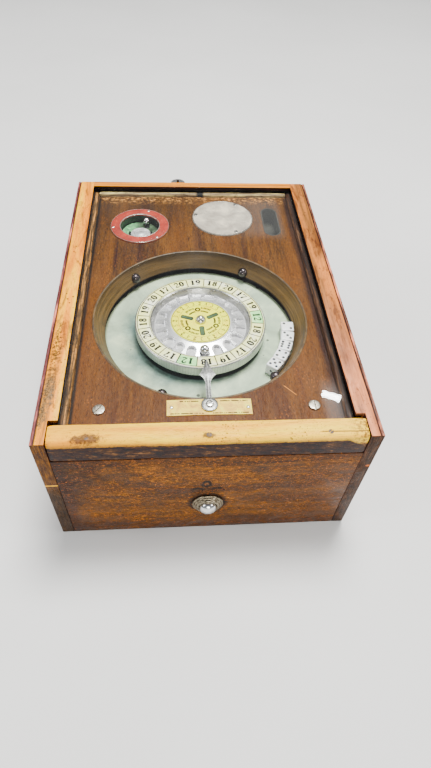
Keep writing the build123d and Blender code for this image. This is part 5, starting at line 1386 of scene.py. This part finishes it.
# bright turned edge of the white cover, and the painted line round the oblong recess
bm = lathe_bm([(34.7, 143.35), (34.8, 143.62), (35.3, 143.66), (35.65, 143.4), (35.7, 142.0)], 32.7, 131.2, 128)
add("cover_edge", bm, "nickel", "case")
bm = bmesh.new()
W, L = 19.2, 56.3
for r_in, r_out in (((W / 2) - 0.1, (W / 2) + 0.55),):
    inner, outer = [], []
    for q in range(64):
        t = 2 * math.pi * q / 64
        sy = (L - W) / 2 * (1 if math.sin(t) >= 0 else -1)
        inner.append((89.6 + r_in * math.cos(t), 125.2 + sy + r_in * math.sin(t)))
        outer.append((89.6 + r_out * math.cos(t), 125.2 + sy + r_out * math.sin(t)))
    vi = [bm.verts.new((x * MM, y * MM, 142.18 * MM)) for x, y in inner]
    vo = [bm.verts.new((x * MM, y * MM, 142.05 * MM)) for x, y in outer]
    for i in range(64):
        j = (i + 1) % 64
        bm.faces.new((vi[i], vi[j], vo[j], vo[i]))
    geo = bmesh.ops.extrude_face_region(bm, geom=bm.faces[:])
    for v in [g for g in geo["geom"] if isinstance(g, bmesh.types.BMVert)]:
        v.co.z = 141.8 * MM
add("recess_line", bm, "bead_r", "case", smooth=0)

# ================================================================ push button
def lathe_y(profile, x, z, segs=96):
    """profile (r, y) in mm revolved about the axis along Y at (x, z)."""
    bm = bmesh.new()
    rings = []
    for r, y in profile:
        if r < 1e-6:
            rings.append([bm.verts.new((x * MM, y * MM, z * MM))])
        else:
            rings.append([bm.verts.new(((x + r * math.cos(2 * math.pi * i / segs)) * MM, y * MM,
                                        (z + r * math.sin(2 * math.pi * i / segs)) * MM)) for i in range(segs)])
    for a, b in zip(rings, rings[1:]):
        for i in range(segs):
            j = (i + 1) % segs
            if len(a) == 1:
                bm.faces.new((a[0], b[i], b[j]))
            elif len(b) == 1:
                bm.faces.new((a[i], b[0], a[j]))
            else:
                bm.faces.new((a[i], b[i], b[j], a[j]))
    return bm


YF = -HY
bm = lathe_y([(0, YF - 10.4), (2.5, YF - 10.15), (4.8, YF - 9.3), (6.6, YF - 8.1), (7.6, YF - 6.9), (7.95, YF - 5.6), (7.95, YF + 0.8)], 0.5, 50.0)
add("button_cap", bm, "button", "plunger", ("plunger_knob",), smooth=60)
bm = lathe_y([(8.4, YF + 8.0), (8.4, YF - 4.1), (8.7, YF - 4.6), (9.6, YF - 4.8), (10.7, YF - 4.7), (11.2, YF - 4.2), (11.2, YF - 3.5), (11.5, YF - 3.15),
              (12.4, YF - 3.2), (12.8, YF - 2.8), (12.8, YF - 2.1), (13.1, YF - 1.75), (14.0, YF - 1.8), (14.5, YF - 1.35), (14.5, YF - 0.4), (14.3, YF + 0.05),
              (11.0, YF + 0.05), (11.0, YF + 28.0), (4.1, YF + 28.0), (4.1, YF + 9.0), (8.4, YF + 9.0), (8.4, YF + 8.0)], 0.5, 50.0)
bmesh.ops.remove_doubles(bm, verts=bm.verts, dist=1e-7)
add("button_collar", bm, "collar", "case", ("plunger_bushing",), smooth=50)

# ================================================================ floor, light, camera
bm = bmesh.new()
N = 60
S = 3.0
vs = [[bm.verts.new((S * (i / N - 0.5) * 2, S * (j / N - 0.5) * 2, -0.0002)) for j in range(N + 1)] for i in range(N + 1)]
for i in range(N):
    for j in range(N):
        bm.faces.new((vs[i][j], vs[i + 1][j], vs[i + 1][j + 1], vs[i][j + 1]))
me = bpy.data.meshes.new("floor")
bm.to_mesh(me)
bm.free()
floor = bpy.data.objects.new("floor", me)
bpy.context.scene.collection.objects.link(floor)
FM = Mat("floor_pale")
me.materials.append(FM.done(FM.ramp(FM.noise(2.0, 3), [(0.3, (0.60, 0.60, 0.59)), (0.7, (0.66, 0.66, 0.65))]), FM.ramp(FM.noise(40, 2), [(0.3, 0.75), (0.7, 0.85)])))

world = bpy.data.worlds.new("studio")
bpy.context.scene.world = world
world.use_nodes = True
world.node_tree.nodes["Background"].inputs[0].default_value = (0.80, 0.84, 0.90, 1)
world.node_tree.nodes["Background"].inputs[1].default_value = 0.36


def softbox(name, loc, target, size, power, color=(1, 1, 1), size_y=None):
    d = bpy.data.lights.new(name, "AREA")
    d.shape = "RECTANGLE"
    d.size = size
    d.size_y = size_y or size
    d.energy = power
    d.color = color
    o = bpy.data.objects.new(name, d)
    bpy.context.scene.collection.objects.link(o)
    o.location = loc
    o.rotation_euler = (Vector(target) - Vector(loc)).to_track_quat("-Z", "Y").to_euler()
    return o


CAM = Vector((-0.02836, -0.4214, 0.4980))


def mirror_spot(x, y, dist, z=0.1495):
    """Where a lamp stands for the camera to see it in the glass at (x, y) mm."""
    p = Vector((x * MM, y * MM, z))
    d = (p - CAM).normalized()
    d.z = -d.z
    return p + d * dist, p


softbox("key", (0.25, 0.50, 2.4), (0, -0.02, 0.1), 0.8, 150, (1.0, 0.985, 0.955))
softbox("side", (1.8, -0.4, 1.5), (0, 0, 0.1), 0.7, 22, (1.0, 0.97, 0.93))
softbox("fill", (-1.9, -0.3, 1.6), (0, 0, 0.08), 0.8, 26, (0.95, 0.97, 1.0))
softbox("front", (0.15, -2.0, 0.75), (0, -0.1, 0.06), 0.7, 30, (1.0, 0.97, 0.92))
# the small bright lamp mirrored in the pane's front right corner
loc, p = mirror_spot(105.5, -146.5, 1.6)
softbox("lamp", loc, p, 0.072, 1.0, (1, 1, 1), size_y=0.024)

cam = bpy.data.cameras.new("camera")
cam.lens = 24.81
cam.sensor_width = 36.0
cam.clip_start = 0.01
camo = bpy.data.objects.new("camera", cam)
bpy.context.scene.collection.objects.link(camo)
right = Vector((0.99678, -0.06447, 0.04765)).normalized()
fwd = Vector((0.07788, 0.63807, -0.76603)).normalized()
right = (right - fwd * right.dot(fwd)).normalized()
up = right.cross(fwd).normalized()
M4 = Matrix.Identity(4)
for i in range(3):
    M4[i][0], M4[i][1], M4[i][2], M4[i][3] = right[i], up[i], -fwd[i], CAM[i]
camo.matrix_world = M4
bpy.context.scene.camera = camo
